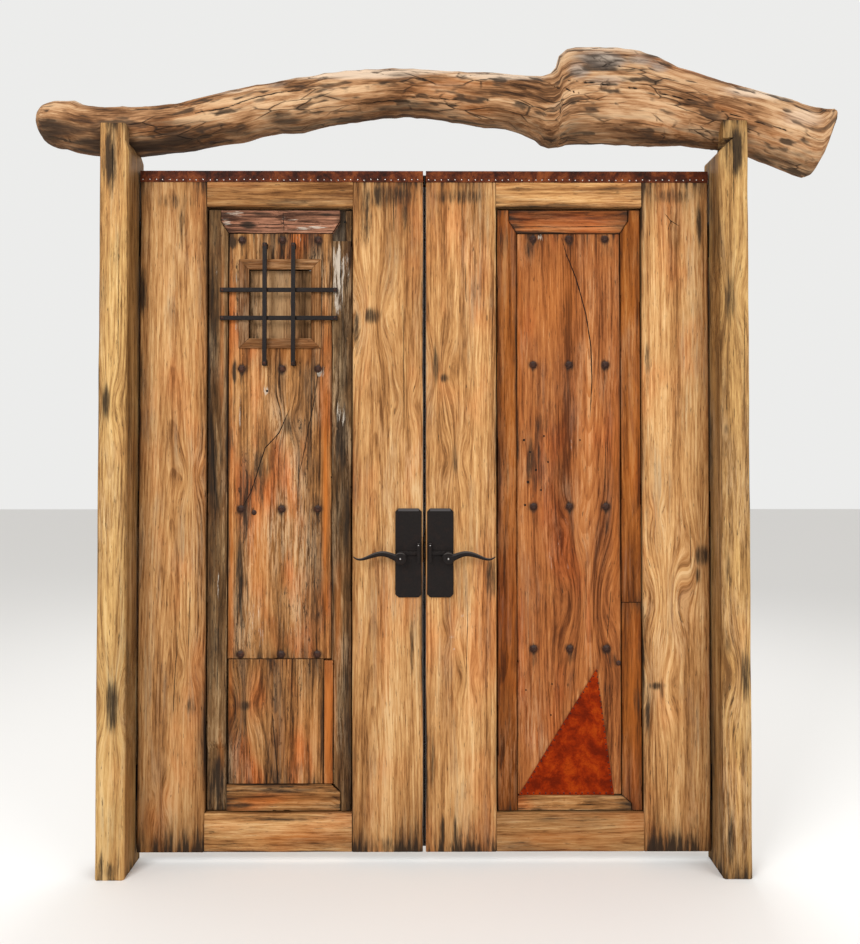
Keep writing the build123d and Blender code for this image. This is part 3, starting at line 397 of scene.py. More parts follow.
def hide(name, base, deep, bright, rough_low):
    """Old stained hide, mottled and pebbled."""
    s = Shader(name)
    place = s.place()
    mottle = s.noise(place, 18.0, detail=6.0, rough=0.7, warp=0.3)
    fine = s.noise(place, 170.0, detail=4.0)
    colour = s.ramp(s.stretch(mottle, 0.34, 0.68), [(0.0, deep), (0.5, base), (1.0, bright)])
    colour = s.blend(s.stretch(fine, 0.52, 0.72, 0.0, 0.55), colour, deep)
    pebble = s.node("ShaderNodeTexVoronoi", {"Vector": place, "Scale": 260.0}, feature="F1")
    height = s.plus(s.times(pebble.outputs["Distance"], 0.6), fine)
    rough = s.stretch(fine, 0.3, 0.7, rough_low, 0.7)
    return s.finish(colour, rough, s.bump(height, 0.5, 0.001), specular=0.05)


def plain_paint(name, colour, rough=0.9, metallic=0.0):
    return Shader(name).finish((*colour, 1.0), rough, metallic=metallic, specular=0.2)


# Tones run from the darkest grain to the lightest, in linear colour
HONEY = [(0.0, (0.15, 0.060, 0.018)), (0.35, (0.38, 0.178, 0.060)),
         (0.7, (0.56, 0.305, 0.118)), (1.0, (0.72, 0.46, 0.22))]
OLIVE = [(0.0, (0.15, 0.070, 0.022)), (0.35, (0.37, 0.200, 0.068)),
         (0.7, (0.54, 0.325, 0.120)), (1.0, (0.68, 0.46, 0.21))]
OLD_TAN = [(0.0, (0.028, 0.012, 0.005)), (0.3, (0.165, 0.070, 0.022)),
           (0.65, (0.36, 0.165, 0.054)), (1.0, (0.56, 0.32, 0.14))]
OLD_GREY = [(0.0, (0.020, 0.011, 0.005)), (0.4, (0.085, 0.041, 0.015)),
            (0.75, (0.18, 0.095, 0.038)), (1.0, (0.36, 0.23, 0.115))]
OLD_PINK = [(0.0, (0.045, 0.018, 0.010)), (0.3, (0.25, 0.110, 0.062)),
            (0.65, (0.42, 0.195, 0.115)), (1.0, (0.60, 0.40, 0.27))]
OLD_RED = [(0.0, (0.080, 0.022, 0.006)), (0.35, (0.25, 0.078, 0.021)),
           (0.75, (0.39, 0.142, 0.041)), (1.0, (0.52, 0.245, 0.10))]
DEEP_BROWN = [(0.0, (0.055, 0.015, 0.003)), (0.4, (0.18, 0.050, 0.008)),
              (0.75, (0.29, 0.092, 0.017)), (1.0, (0.39, 0.16, 0.045))]
MOULDING = [(0.0, (0.040, 0.014, 0.004)), (0.4, (0.115, 0.043, 0.012)),
            (0.75, (0.19, 0.080, 0.026)), (1.0, (0.32, 0.16, 0.065))]
# DARK_BOARD is near-black so the backing, seen only in the gaps round the old boards, reads as painted
# shade
DARK_BOARD = [(0.0, (0.012, 0.008, 0.005)), (0.5, (0.045, 0.028, 0.017)), (1.0, (0.09, 0.06, 0.036))]
WINDOW_BOARD = [(0.0, (0.07, 0.034, 0.013)), (0.5, (0.25, 0.132, 0.056)), (1.0, (0.42, 0.25, 0.12))]

honey = wood("honey_timber", HONEY)
olive = wood("olive_timber", OLIVE, weather=0.40, warmth=0.12)
old_tan = wood("old_tan_timber", OLD_TAN, weather=0.70, warmth=0.6, grey=(0.13, 0.09, 0.058), bleach=0.5,
               eaten=0.85)
old_grey = wood("old_grey_timber", OLD_GREY, weather=0.7, grey=(0.105, 0.072, 0.038), eaten=0.7)
old_pink = wood("old_pink_timber", OLD_PINK, weather=0.4, warmth=0.2, bleach=0.6, eaten=0.7)
old_red = wood("old_red_timber", OLD_RED, weather=0.30, warmth=0.3, bleach=0.25, eaten=0.3)
deep_brown = wood("deep_brown_timber", DEEP_BROWN, weather=0.30, warmth=0.2, bleach=0.1)
log_finish = driftwood("driftwood_log")
upright_moulding = wood("upright_moulding_timber", MOULDING, weather=0.2, warmth=0.1, bleach=0.25,
                        plain="z")
level_moulding = wood("level_moulding_timber", MOULDING, weather=0.2, warmth=0.1, bleach=0.25, plain="x")
# The backing board's near-black tone is painted shade for the gaps it shows through
backing_wood = wood("backing_timber", DARK_BOARD, weather=0.3, plain="z")
shutter_wood = wood("shutter_timber", WINDOW_BOARD, weather=0.3, bleach=0.5, eaten=0.6, plain="z")
black_iron = iron("forged_iron")
# The nails' worn setting is the strength of their painted top highlight
nail_iron = iron("rusty_nail_iron", light=(0.045, 0.020, 0.013), rust=0.8, brown=(0.09, 0.032, 0.016),
                 metallic=0.1, worn=0.35)
cap_hide = hide("cap_leather", (0.085, 0.020, 0.008), (0.020, 0.008, 0.006), (0.19, 0.050, 0.014), 0.5)
patch_hide = hide("patch_leather", (0.225, 0.018, 0.0006), (0.11, 0.008, 0.0004), (0.33, 0.042, 0.002), 0.6)
bright_nail = plain_paint("bright_nail_metal", (0.62, 0.60, 0.58), rough=0.3, metallic=0.9)
# Light metals for the rivet domes and the plate lips: painted highlights
rivet_highlight_steel = plain_paint("rivet_highlight_steel", (0.42, 0.40, 0.39), rough=0.35, metallic=0.8)
plate_lip_highlight = plain_paint("plate_lip_highlight", (0.058, 0.052, 0.052), rough=0.45, metallic=0.2)
# Black for the peg and worm holes: painted shade
hole_shade_black = plain_paint("painted_hole_shade", (0.006, 0.004, 0.003))
# Near-black for the strips in the leaves' meeting gap: painted shade
gap_shade_black = plain_paint("gap_shade_black", (0.020, 0.012, 0.008))


# Surface attributes that every timber mesh carries: its own grain coordinates, the distance from the
# pith for the growth rings, dark stains that include painted shade at edges, darkening ("dusk") that is
# dirt, whole pieces darkened and painted shade, orange wash ("blush"), flakes of paint, and cracks as a
# signed distance with a width


def marks_at(x, z, marks, depth):
    """Strength of oval marks given in photograph pixels: x, y, two half sizes, strength."""
    total = np.zeros(x.shape)
    for px, py, half_x, half_y, strength in marks:
        cx, cz = on_plane(px, py, depth)
        edge_x, edge_z = on_plane(px + half_x, py - half_y, depth)
        reach = ((x - cx) / (edge_x - cx)) ** 2 + ((z - cz) / (edge_z - cz)) ** 2
        total = np.maximum(total, strength * np.exp(-1.4 * reach ** 1.5))
    return total


def cracks_at(x, z, cracks, depth):
    """Signed distance from the nearest crack, in metres, and the crack's half width there."""
    offset = np.full(x.shape, 1.0)
    width = np.zeros(x.shape)
    for half_width, points in cracks:
        line = [on_plane(px, py, depth) for px, py in points]
        lengths = [math.dist(a, b) for a, b in zip(line[:-1], line[1:])]
        whole = sum(lengths)
        walked = 0.0
        for (ax, az), (bx, bz), length in zip(line[:-1], line[1:], lengths):
            along = ((x - ax) * (bx - ax) + (z - az) * (bz - az)) / length ** 2
            held = np.clip(along, 0, 1)
            gap = np.hypot(x - ax - held * (bx - ax), z - az - held * (bz - az))
            side = np.sign((bx - ax) * (z - az) - (bz - az) * (x - ax))
            nearer = gap < np.abs(offset)
            share = (walked + held * length) / whole
            taper = np.clip(6 * share * (1 - share), 0, 1) ** 0.6
            offset = np.where(nearer, gap * side, offset)
            width = np.where(nearer, half_width * taper, width)
            walked += length
    return np.clip(offset, -0.03, 0.03), width


def rest_of(along, low, high, reach):
    """One at both ends of a board, falling to nothing a reach away."""
    near = np.minimum(along - low, high - along)
    return np.exp(-np.clip(near, 0, None) / reach)


def near_edge(from_edge, reach):
    return np.exp(-np.clip(from_edge, 0, None) / reach)


def rounded_by(corner):
    """How far a round edge has fallen, from 0 where it starts to 1 at the corner."""
    return 1 - np.sqrt(np.clip(1 - corner ** 2, 0, 1))


def add_attribute(mesh, name, values):
    if values.ndim == 2:
        layer = mesh.attributes.new(name, "FLOAT_VECTOR", "POINT")
        layer.data.foreach_set("vector", values.astype(np.float32).ravel())
    else:
        layer = mesh.attributes.new(name, "FLOAT", "POINT")
        layer.data.foreach_set("value", values.astype(np.float32))


def make_object(name, verts, faces, material, body, smooth):
    """A mesh object that rides on a body. Smooth says which of its faces are shaded smooth."""
    mesh = bpy.data.meshes.new(name)
    mesh.from_pydata(verts, [], faces)
    mesh.materials.append(material)
    mesh.polygons.foreach_set("use_smooth", smooth)
    made = bpy.data.objects.new(name, mesh)
    bpy.context.collection.objects.link(made)
    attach(made, body)
    return made


def make_timber_object(node, verts, faces, material, layers, body):
    """A timber's mesh with its attributes, in place of the frame's own mesh of that node."""
    smooth = [len(face) == 4 for face in faces]
    made = make_object(node + "_timber", verts.tolist(), faces, material, body, smooth)
    for key, values in layers.items():
        add_attribute(made.data, key, values)
    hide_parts(node)


def stations(low, high, pitch, extra=()):
    """Places along a board, closer at its ends and on both sides of every step."""
    ends = [low, low + 0.0006, low + 0.002, high - 0.002, high - 0.0006, high]
    steps = [step + shift for step in extra for shift in (-0.0003, 0.0003)]
    plain = np.arange(low + pitch, high - pitch * 0.5, pitch)
    places = np.unique(np.concatenate([ends, steps, plain]))
    return places[(places >= low) & (places <= high)]


def table(places, value):
    """A value at each place: a constant, or points to go between with steps where they repeat."""
    if np.isscalar(value):
        return np.full(places.shape, float(value))
    at = np.array([point[0] for point in value]) + np.arange(len(value)) * 1e-7
    return np.interp(places, at, [point[1] for point in value])


BACK_INWARD = 0.0004
END_FALL = 0.0016
END_REACH = 0.002
LEAST_HALF = 0.0002


class Timber:
    """A board or post as a closed sleeve of stations along the grain, each a ring round its section."""

    def __init__(self, grain, low, high, near, far, front, back, seed, pitch=0.004, steps=(),
                 radius=0.0022):
        self.grain = grain
        self.seed = seed
        self.low = low
        self.high = high
        self.radius = radius
        self.pitch = pitch
        self.along = stations(low, high, pitch, steps)
        self.near = table(self.along, near)
        self.far = table(self.along, far)
        self.front = table(self.along, front)
        self.back = table(self.along, back)
        self.holes = []
        self.notches = []

    def ring(self, columns=None, depths=()):
        """Shares of the width and depth, with the inward direction, for each point of a ring."""
        wide = float(np.max(self.far - self.near))
        deep = float(np.max(self.back - self.front))
        count = max(int(wide / self.pitch), 4)
        across = np.linspace(0, 1, count) if columns is None else np.array(columns)
        sides = np.unique(np.concatenate([np.linspace(0.12, 1, max(int(deep / 0.010), 2)), depths]))
        points = [(u, 0.0, 0.0, 1.0) for u in across]
        points += [(1.0, v, -1.0, 0.0) for v in sides]
        points += [(u, 1.0, 0.0, -1.0) for u in (across[::-1] if self.holes else (0.999, 0.001))]
        points += [(0.0, v, 1.0, 0.0) for v in sides[::-1]]
        self.columns = across
        self.sides = sides
        return np.array(points)

    def worn(self, across, depth, along, wear, deep_wear):
        """How far ridges, hollows and pits sink the surface."""
        ridges = 0.5 + 0.5 * layered_noise(across * 160, depth * 160, along * 5, 3, self.seed)
        hollows = np.clip(layered_noise(across * 30, depth * 30, along * 3, 2, self.seed + 40), 0, 1)
        pits = np.clip(value_noise(across * 190, depth * 190, along * 90, self.seed + 5) - 0.55, 0, 1) * 3
        return wear * ridges + deep_wear * (hollows + pits)

    def notched(self, across, depth, along, inward_across):
        """Sets one side back where a fitting lies in it."""
        for low, high, deep_low, deep_high, side, inset in self.notches:
            held = (along > low) & (along < high) & (depth > deep_low) & (depth < deep_high)
            held = held & (inward_across == -side)
            across = np.where(held, across - side * inset, across)
        return across

    def build(self, wear=0.0008, deep_wear=0.0, edge_wear=0.0015, columns=None, depths=()):
        """Places every point: worn, rounded at corners and ends, then notched."""
        ring = self.ring(columns, depths)
        rows, count = len(self.along), len(ring)
        along = np.repeat(self.along[:, None], count, axis=1)
        u, v, inward_across, inward_depth = (ring[None, :, k] for k in range(4))
        near, far, front, back = (a[:, None] for a in (self.near, self.far, self.front, self.back))
        across = near + u * (far - near)
        depth = front + v * (back - front)
        inward = self.worn(across, depth, along, wear, deep_wear)
        uneven = 0.5 + 0.5 * value_noise(across * 4, 0 * along, along * 9, self.seed + 9)
        roundness = self.radius + edge_wear * uneven
        corner = np.clip(1 - np.minimum(across - near, far - across) / roundness, 0, 1)
        inward = inward + np.where(inward_depth > 0, roundness * rounded_by(corner), 0)
        side_corner = np.clip(1 - (depth - front) / roundness, 0, 1) * (inward_across != 0)
        inward = inward + roundness * rounded_by(side_corner)
        inward = np.where(inward_depth < 0, BACK_INWARD, inward)
        inward = np.minimum(inward, np.minimum((far - near) / 2, (back - front) / 2) - LEAST_HALF)
        end_gap = np.minimum(along - self.low, self.high - along)
        inward = inward + END_FALL * rounded_by(1 - np.clip(end_gap / END_REACH, 0, 1))
        across = across + inward_across * inward
        corners = np.clip(across, near + LEAST_HALF, far - LEAST_HALF)
        across = np.where(inward_depth != 0, corners, across)
        self.depth = depth + inward_depth * inward
        self.across = self.notched(across, self.depth, along, inward_across)
        self.place = along
        self.shape = (rows, count)
        self.on_side = np.repeat(inward_across != 0, rows, axis=0)
        self.on_back = np.repeat(inward_depth < 0, rows, axis=0)

    def cut_hole(self, index, keep, first, last, low, high):
        """Takes one opening out of both broad faces and returns the walls between them."""
        start, stop = (int(np.argmin(np.abs(self.along - value))) for value in (low, high))
        mirror = 2 * len(self.columns) + len(self.sides) - 1
        keep[start:stop, first:last] = False
        keep[start:stop, mirror - last:mirror - first] = False
        walls = []
        for row in range(start, stop):
            for column in (first, last):
                wall = [index[row, column], index[row + 1, column]]
                wall += [index[row + 1, mirror - column], index[row, mirror - column]]
                walls.append(wall if column == first else wall[::-1])
        for column in range(first, last):
            for row in (start, stop):
                wall = [index[row, column], index[row, column + 1]]
                wall += [index[row, mirror - column - 1], index[row, mirror - column]]
                walls.append(wall[::-1] if row == start else wall)
        return walls

    def faces(self):
        rows, count = self.shape
        index = np.arange(rows * count).reshape(rows, count)
        after = np.roll(index, -1, 1)
        quads = np.stack([index[:-1], after[:-1], after[1:], index[1:]], -1)
        caps = [index[0].tolist(), index[-1][::-1].tolist()]
        if self.grain == "z":
            quads = quads[:, :, ::-1]
            caps = [cap[::-1] for cap in caps]
        keep = np.ones(quads.shape[:2], bool)
        walls = []
        for hole in self.holes:
            walls += self.cut_hole(index, keep, *hole)
        return quads[keep].tolist() + walls + caps

    def positions(self):
        x, z = (self.across, self.place) if self.grain == "z" else (self.place, self.across)
        return np.stack([x, self.depth, z], -1).reshape(-1, 3)


BACK_DIRT = 0.22
RUST_HALO = 0.019
RUST_DRIP = (0.008, 0.032, 0.035)


def bent_round_knots(timber, across, along, knots, face):
    """Places across a board, moved as the grain bends round its knots."""
    bent = across.copy()
    for px, py, size in knots:
        spot = on_plane(px, py, face)
        knot_across, knot_along = spot if timber.grain == "z" else spot[::-1]
        step = across - knot_across
        reach = np.exp(-(step ** 2 + ((along - knot_along) / 2.6) ** 2) / (size * 2.2) ** 2)
        bent = bent + step * reach * 1.6
    return bent


def distance_from_pith(timber, bent, near, far, along, depth, pith, rng):
    """Distance from a pith that wanders behind the board's face."""
    seed = timber.seed
    wander = 0.012 * value_noise(along * 0.8, 0, 0, seed + 3) + 0.004 * value_noise(along * 3, 0, 0, seed)
    slope = rng.uniform(0.008, 0.02) * rng.choice((-1, 1))
    heart = (near + far) / 2 + rng.uniform(-0.3, 0.3) * (far - near) + wander
    below = pith + slope * (along - (timber.low + timber.high) / 2) * 3
    below = below + 0.010 * value_noise(along * 1.2, 0, 0, seed + 8)
    return np.hypot(bent - heart, np.abs(below) + 0.004 + depth)


def rusted(stain_and_shade, x, z, nails):
    """Adds a rust halo and a drip below each nail."""
    drip_x, drip_z, drop = RUST_DRIP
    for nail_x, nail_z in nails:
        halo = np.hypot(x - nail_x, z - nail_z) / RUST_HALO
        drip = np.hypot((x - nail_x) / drip_x, (z - nail_z + drop) / drip_z)
        rust = 0.75 * np.exp(-halo ** 3) + 0.45 * np.exp(-drip ** 2)
        stain_and_shade = np.maximum(stain_and_shade, np.clip(rust, 0, 0.8))
    return stain_and_shade


def timber_layers(timber, marks, cracks, knots, paint, blush, nails=(), ends=0.5, edges=0.3, soot=0.0,
                  pith=0.05, end_reach=0.05, dusk=0.0, side_dusk=0.0):
    """The surface attributes of one timber."""
    rng = random.Random(timber.seed)
    x, _, z = timber.positions().T
    across, along, depth = timber.across.ravel(), timber.place.ravel(), timber.depth.ravel()
    face = float(timber.front.min())
    near, far = (np.repeat(edge, timber.shape[1]) for edge in (timber.near, timber.far))
    from_edge = np.minimum(across - near, far - across)
    bent = bent_round_knots(timber, across, along, knots, face)
    ring = distance_from_pith(timber, bent, near, far, along, depth - face, pith, rng)
    shift = rng.uniform(0, 20)
    streak = layered_noise(across * 120, depth * 60, along * 4.5, 3, timber.seed + 11)
    broad = layered_noise(across * 14, depth * 14, along * 3, 2, timber.seed + 12)
    end_dark = rest_of(along, timber.low, timber.high, end_reach) * ends
    end_dark = end_dark * np.clip(0.65 + 1.2 * streak + 0.7 * broad, 0, 1.5)
    # Darkening near both long edges of a board: dirt, and painted shade along the gaps beside neighbouring
    # parts
    edge_dirt_and_shade = edges * near_edge(from_edge, 0.008) * np.clip(0.35 + 1.3 * broad + 0.5 * streak, 0, 1.2)
    stain_and_shade = marks_at(x, z, marks, face) * (0.80 + 0.45 * streak)
    stain_and_shade = np.maximum(stain_and_shade, np.maximum(end_dark, edge_dirt_and_shade))
    stain_and_shade = stain_and_shade + soot * np.clip(broad + 0.8 * streak - 0.1, 0, 1)
    stain_and_shade = rusted(stain_and_shade, x, z, nails)
    wash = rest_of(along, timber.low, timber.high, 0.11) * ends * np.clip(0.75 + 0.8 * broad, 0, 1.3)
    # The rim darkens the same edges through dusk: dirt with painted shade
    rim = edges * near_edge(from_edge, 0.014) * np.clip(0.45 + 0.9 * broad, 0, 1.2)
    dusky = np.clip(np.maximum(wash * 0.75, rim * 0.8) + dusk * (1 + 0.5 * broad), 0, 1)
    # Painted shade: every side face of the timber is darkened by the side setting, as if turned from the
    # light
    dusky = np.maximum(dusky, np.where(timber.on_side.ravel(), side_dusk, 0.0))
    cleaner = np.where(timber.on_back.ravel(), BACK_DIRT, 1.0)
    offset, width = cracks_at(x, z, cracks, face)
    return {
        "grain_place": np.stack([bent + shift, depth, along + shift], -1),
        "ring": ring,
        "stain_and_shade": np.clip(stain_and_shade, 0, 1) * cleaner,
        "crack_offset": offset * 1000,
        "crack_width": width * 1000,
        "dusk": dusky * cleaner,
        "blush": np.clip(marks_at(x, z, blush, face) * (0.9 + 0.5 * streak), 0, 1),
        "paint": np.clip(marks_at(x, z, paint, face) * (0.85 + 0.4 * streak), 0, 1),
    }


# Marks, knots and cracks seen in the photograph, in its pixels, listed for each timber.
# A mark, paint or blush is x, y, half width, half height and strength. A crack is its half width in
# metres and a line. A knot is x, y and its size in metres.
MARKS = {
    "left_post": [
        (110, 160, 9, 38, 0.9), (103, 150, 4, 60, 0.6), (106, 403, 5, 24, 0.95), (112, 705, 9, 34, 0.9),
        (101, 868, 4, 22, 0.8), (118, 866, 3, 20, 0.7), (110, 872, 7, 12, 0.7), (128, 500, 3, 90, 0.35),
    ],
    "right_post": [
        (735, 150, 14, 34, 0.95), (730, 300, 6, 32, 0.8), (727, 430, 4, 9, 0.7), (746, 674, 6, 36, 0.9),
        (728, 560, 4, 40, 0.55), (729, 650, 4, 40, 0.5), (731, 845, 4, 40, 0.85), (728, 800, 3, 30, 0.6),
    ],
    "left_hinge_stile": [
        (182, 221, 3.5, 32, 0.95), (141, 292, 9, 30, 0.95), (139, 230, 6, 30, 0.7),
        (141, 370, 4, 34, 0.6), (191, 706, 6, 13, 0.8), (176, 200, 30, 10, 0.5), (160, 845, 26, 12, 0.5),
        (142, 560, 4, 60, 0.35),
    ],
    "left_lock_stile": [
        (388, 196, 34, 15, 0.9), (404, 208, 4, 32, 0.8), (366, 212, 8, 40, 0.7),
        (372, 316, 12, 10, 0.85), (356, 330, 5, 26, 0.75), (412, 646, 2.5, 40, 0.8),
        (386, 846, 30, 12, 0.6), (357, 480, 4, 60, 0.5),
    ],
    "right_lock_stile": [
        (436, 364, 4, 26, 0.9), (444, 378, 5, 6, 0.8), (455, 458, 4, 20, 0.8), (474, 282, 2.5, 36, 0.75),
        (491, 576, 6, 28, 0.9), (443, 832, 2.5, 24, 0.95), (455, 832, 2.5, 24, 0.95),
        (433, 760, 3, 40, 0.6), (460, 196, 34, 10, 0.8), (490, 845, 8, 14, 0.7), (484, 540, 4, 40, 0.4),
    ],
    "right_hinge_stile": [
        (699, 224, 3.5, 28, 0.9), (648, 366, 4, 34, 0.75), (702, 556, 9, 14, 0.95),
        (698, 575, 4, 12, 0.7), (657, 686, 11, 5, 0.9), (662, 690, 3, 14, 0.9), (648, 710, 3, 36, 0.8),
        (672, 196, 30, 10, 0.7), (694, 840, 16, 14, 0.6), (648, 520, 3, 60, 0.4),
    ],
    "left_top_rail": [(280, 202, 60, 5, 0.6), (240, 190, 16, 4, 0.4), (320, 204, 20, 4, 0.6)],
    "right_top_rail": [(560, 206, 60, 4, 0.5), (610, 190, 20, 5, 0.6), (520, 190, 18, 4, 0.5)],
    "left_bottom_rail": [(280, 818, 60, 5, 0.6), (230, 845, 20, 6, 0.5), (320, 845, 20, 5, 0.5)],
    "right_bottom_rail": [(560, 819, 60, 4, 0.6), (520, 845, 20, 6, 0.5), (620, 846, 20, 5, 0.4)],
    "left_panel_board": [
        (235, 372, 5, 12, 0.7), (281, 388, 3, 6, 0.4), (245, 505, 8, 40, 0.5), (258, 480, 7, 40, 0.4),
        (300, 480, 8, 50, 0.45), (287, 425, 6, 14, 0.7), (240, 600, 10, 60, 0.5),
        (316, 600, 10, 50, 0.5), (280, 560, 14, 50, 0.3), (232, 300, 4, 60, 0.3), (233, 242, 6, 8, 0.8),
        (281, 252, 3, 10, 0.5),
    ],
    "right_panel_board": [
        (535, 465, 12, 34, 0.7), (540, 430, 10, 20, 0.5), (608, 525, 4, 12, 0.6), (572, 527, 5, 6, 0.4),
        (556, 600, 20, 60, 0.2), (540, 395, 8, 20, 0.4), (570, 657, 8, 8, 0.5), (612, 660, 8, 10, 0.5),
        (608, 700, 6, 40, 0.3), (528, 250, 6, 14, 0.5), (606, 250, 8, 14, 0.4),
    ],
    "left_patch_board": [
        (244, 706, 8, 7, 0.95), (244, 716, 4, 14, 0.6), (230, 730, 3, 40, 0.5), (300, 770, 20, 10, 0.4),
    ],
    "left_old_left_stile": [
        (216, 300, 9, 60, 0.5), (214, 480, 9, 80, 0.6), (216, 640, 9, 70, 0.6), (216, 780, 10, 30, 0.9),
    ],
    "left_old_right_stile": [
        (341, 228, 5, 13, 1.0), (342, 440, 7, 50, 0.75), (345, 520, 6, 50, 0.7), (346, 700, 5, 80, 0.6),
        (344, 270, 5, 20, 0.5),
    ],
    "left_old_top_rail": [
        (248, 225, 10, 5, 1.0), (262, 214, 14, 3, 0.7), (300, 230, 24, 3, 0.6), (326, 214, 8, 3, 0.7),
    ],
    "left_old_bottom_rail": [(280, 790, 50, 4, 0.7), (240, 806, 14, 5, 0.6)],
    "right_old_left_stile": [
        (503, 240, 6, 24, 0.6), (509, 480, 8, 60, 0.35), (508, 700, 8, 60, 0.25), (501, 640, 3, 90, 0.4),
    ],
    "right_old_upper_stile": [(636, 260, 5, 30, 0.5), (626, 420, 3, 60, 0.3)],
    "right_old_lower_stile": [(637, 700, 4, 20, 0.6), (640, 650, 3, 30, 0.4)],
    "right_old_top_rail": [(560, 232, 40, 3, 0.5), (612, 218, 12, 4, 0.4)],
    "right_old_bottom_rail": [(540, 809, 14, 3, 0.6), (600, 800, 20, 3, 0.5)],
}
CRACKS = {
    "left_panel_board": [
        (0.0014, [(290, 408), (279, 433), (265, 448), (258, 470), (251, 492), (242, 508)]),
        (0.001, [(326, 366), (317, 378), (314, 402), (308, 430), (304, 452), (299, 474)]),
    ],
    "right_panel_board": [
        (0.0016, [(561, 236), (567, 256), (576, 278), (586, 314), (591, 347), (592, 381), (590, 417)]),
        (0.0008, [(606, 434), (605, 470), (605, 497)]), (0.0008, [(586, 560), (586, 620)]),
        (0.0007, [(611, 590), (607, 640)]),
    ],
    "left_patch_board": [(0.0012, [(272, 713), (275, 748), (278, 782)])],
    "left_hinge_stile": [
        (0.0008, [(178, 634), (175, 675), (173, 714)]), (0.0007, [(190, 590), (188, 660)]),
    ],
    "left_lock_stile": [(0.0007, [(393, 190), (394, 232)]), (0.0007, [(403, 300), (404, 430)])],
    "right_lock_stile": [
        (0.0009, [(462, 195), (462, 232)]), (0.0008, [(465, 262), (466, 300)]),
        (0.0006, [(468, 600), (466, 690)]),
    ],
    "right_hinge_stile": [
        (0.0009, [(665, 214), (671, 221), (679, 226)]), (0.0008, [(671, 221), (668, 230)]),
        (0.0006, [(668, 740), (667, 800)]), (0.0006, [(690, 520), (691, 570)]),
    ],
    "left_post": [(0.0009, [(113, 124), (112, 200)]), (0.0006, [(118, 230), (118, 380)])],
    "right_post": [(0.0009, [(733, 128), (734, 210)]), (0.0006, [(745, 300), (744, 420)])],
    "left_old_top_rail": [
        (0.0009, [(222, 224), (250, 225), (285, 224), (334, 225)]), (0.0008, [(283, 212), (284, 231)]),
    ],
    "right_old_top_rail": [(0.0008, [(512, 226), (560, 227), (626, 226)])],
    "left_old_left_stile": [(0.0008, [(213, 420), (215, 520)]), (0.0008, [(219, 610), (217, 690)])],
    "left_old_right_stile": [(0.001, [(340, 250), (341, 300)]), (0.0008, [(344, 600), (343, 700)])],
}
PAINT = {
    "left_old_right_stile": [
        (338, 272, 8, 34, 1.0), (344, 268, 6, 20, 0.8), (338, 300, 5, 26, 0.7), (341, 412, 6, 20, 0.5),
    ],
    "left_old_top_rail": [
        (234, 214, 13, 5, 0.9), (226, 222, 6, 8, 0.6), (312, 228, 20, 3, 0.8), (290, 219, 16, 3, 0.4),
    ],
    "left_panel_board": [
        (266, 390, 5, 6, 0.5), (240, 420, 7, 40, 0.4), (300, 500, 10, 40, 0.35), (300, 240, 14, 6, 0.4),
        (236, 300, 5, 60, 0.35), (320, 372, 8, 8, 0.6), (260, 620, 16, 30, 0.35),
    ],
    "right_panel_board": [(540, 238, 6, 5, 0.5), (575, 440, 10, 30, 0.25), (560, 540, 20, 40, 0.25)],
    "left_old_left_stile": [(216, 600, 6, 50, 0.35), (214, 260, 5, 30, 0.3)],
    "right_lock_stile": [(452, 637, 4, 2, 0.7), (454, 649, 4, 2, 0.6), (462, 616, 6, 3, 0.4)],
}
BLUSH = {
    "left_panel_board": [
        (231, 340, 3, 110, 0.8), (231, 560, 3.5, 110, 0.9), (326, 500, 4.5, 150, 1.0),
        (290, 350, 40, 18, 0.4), (258, 560, 12, 60, 0.5), (322, 400, 4, 60, 0.6),
    ],
    "left_patch_board": [(300, 740, 30, 40, 0.3), (230, 700, 4, 40, 0.6)],
    "left_patch_strip": [(329, 720, 8, 70, 0.9)],
    "left_old_left_stile": [(222, 330, 3, 80, 0.5), (220, 760, 4, 30, 0.4)],
    "left_old_right_stile": [(338, 620, 4, 60, 0.5), (334, 700, 3, 60, 0.5)],
    "left_old_bottom_rail": [(280, 800, 60, 6, 0.4)],
    "right_old_lower_stile": [(634, 700, 8, 90, 0.4)],
    "right_old_upper_stile": [(636, 420, 5, 160, 0.25)],
    "right_old_left_stile": [(512, 500, 4, 240, 0.25)],
    "right_panel_board": [(520, 330, 4, 90, 0.5), (616, 470, 5, 150, 0.5), (560, 300, 30, 50, 0.25)],
    "left_hinge_stile": [(148, 820, 10, 24, 0.35), (196, 420, 4, 120, 0.3)],
    "left_bottom_rail": [(300, 838, 60, 8, 0.5)],
    "right_bottom_rail": [(560, 838, 60, 8, 0.5)],
}
KNOTS = {
    "left_hinge_stile": [(189, 667, 0.012), (160, 801, 0.01), (191, 477, 0.014)],
    "left_lock_stile": [(406, 403, 0.012), (372, 316, 0.022)],
    "right_lock_stile": [(455, 458, 0.014), (438, 372, 0.018), (468, 678, 0.01), (452, 636, 0.008)],
    "right_hinge_stile": [(702, 556, 0.02), (657, 686, 0.02), (666, 600, 0.022), (657, 514, 0.008)],
    "right_panel_board": [(574, 528, 0.014), (588, 600, 0.03)],
    "left_post": [(106, 403, 0.016), (112, 705, 0.02)],
    "right_post": [(730, 300, 0.018), (746, 674, 0.02)],
    "left_panel_board": [(287, 420, 0.012)],
    "left_patch_board": [(244, 706, 0.016)],
}


# New timber: posts, stiles and rails

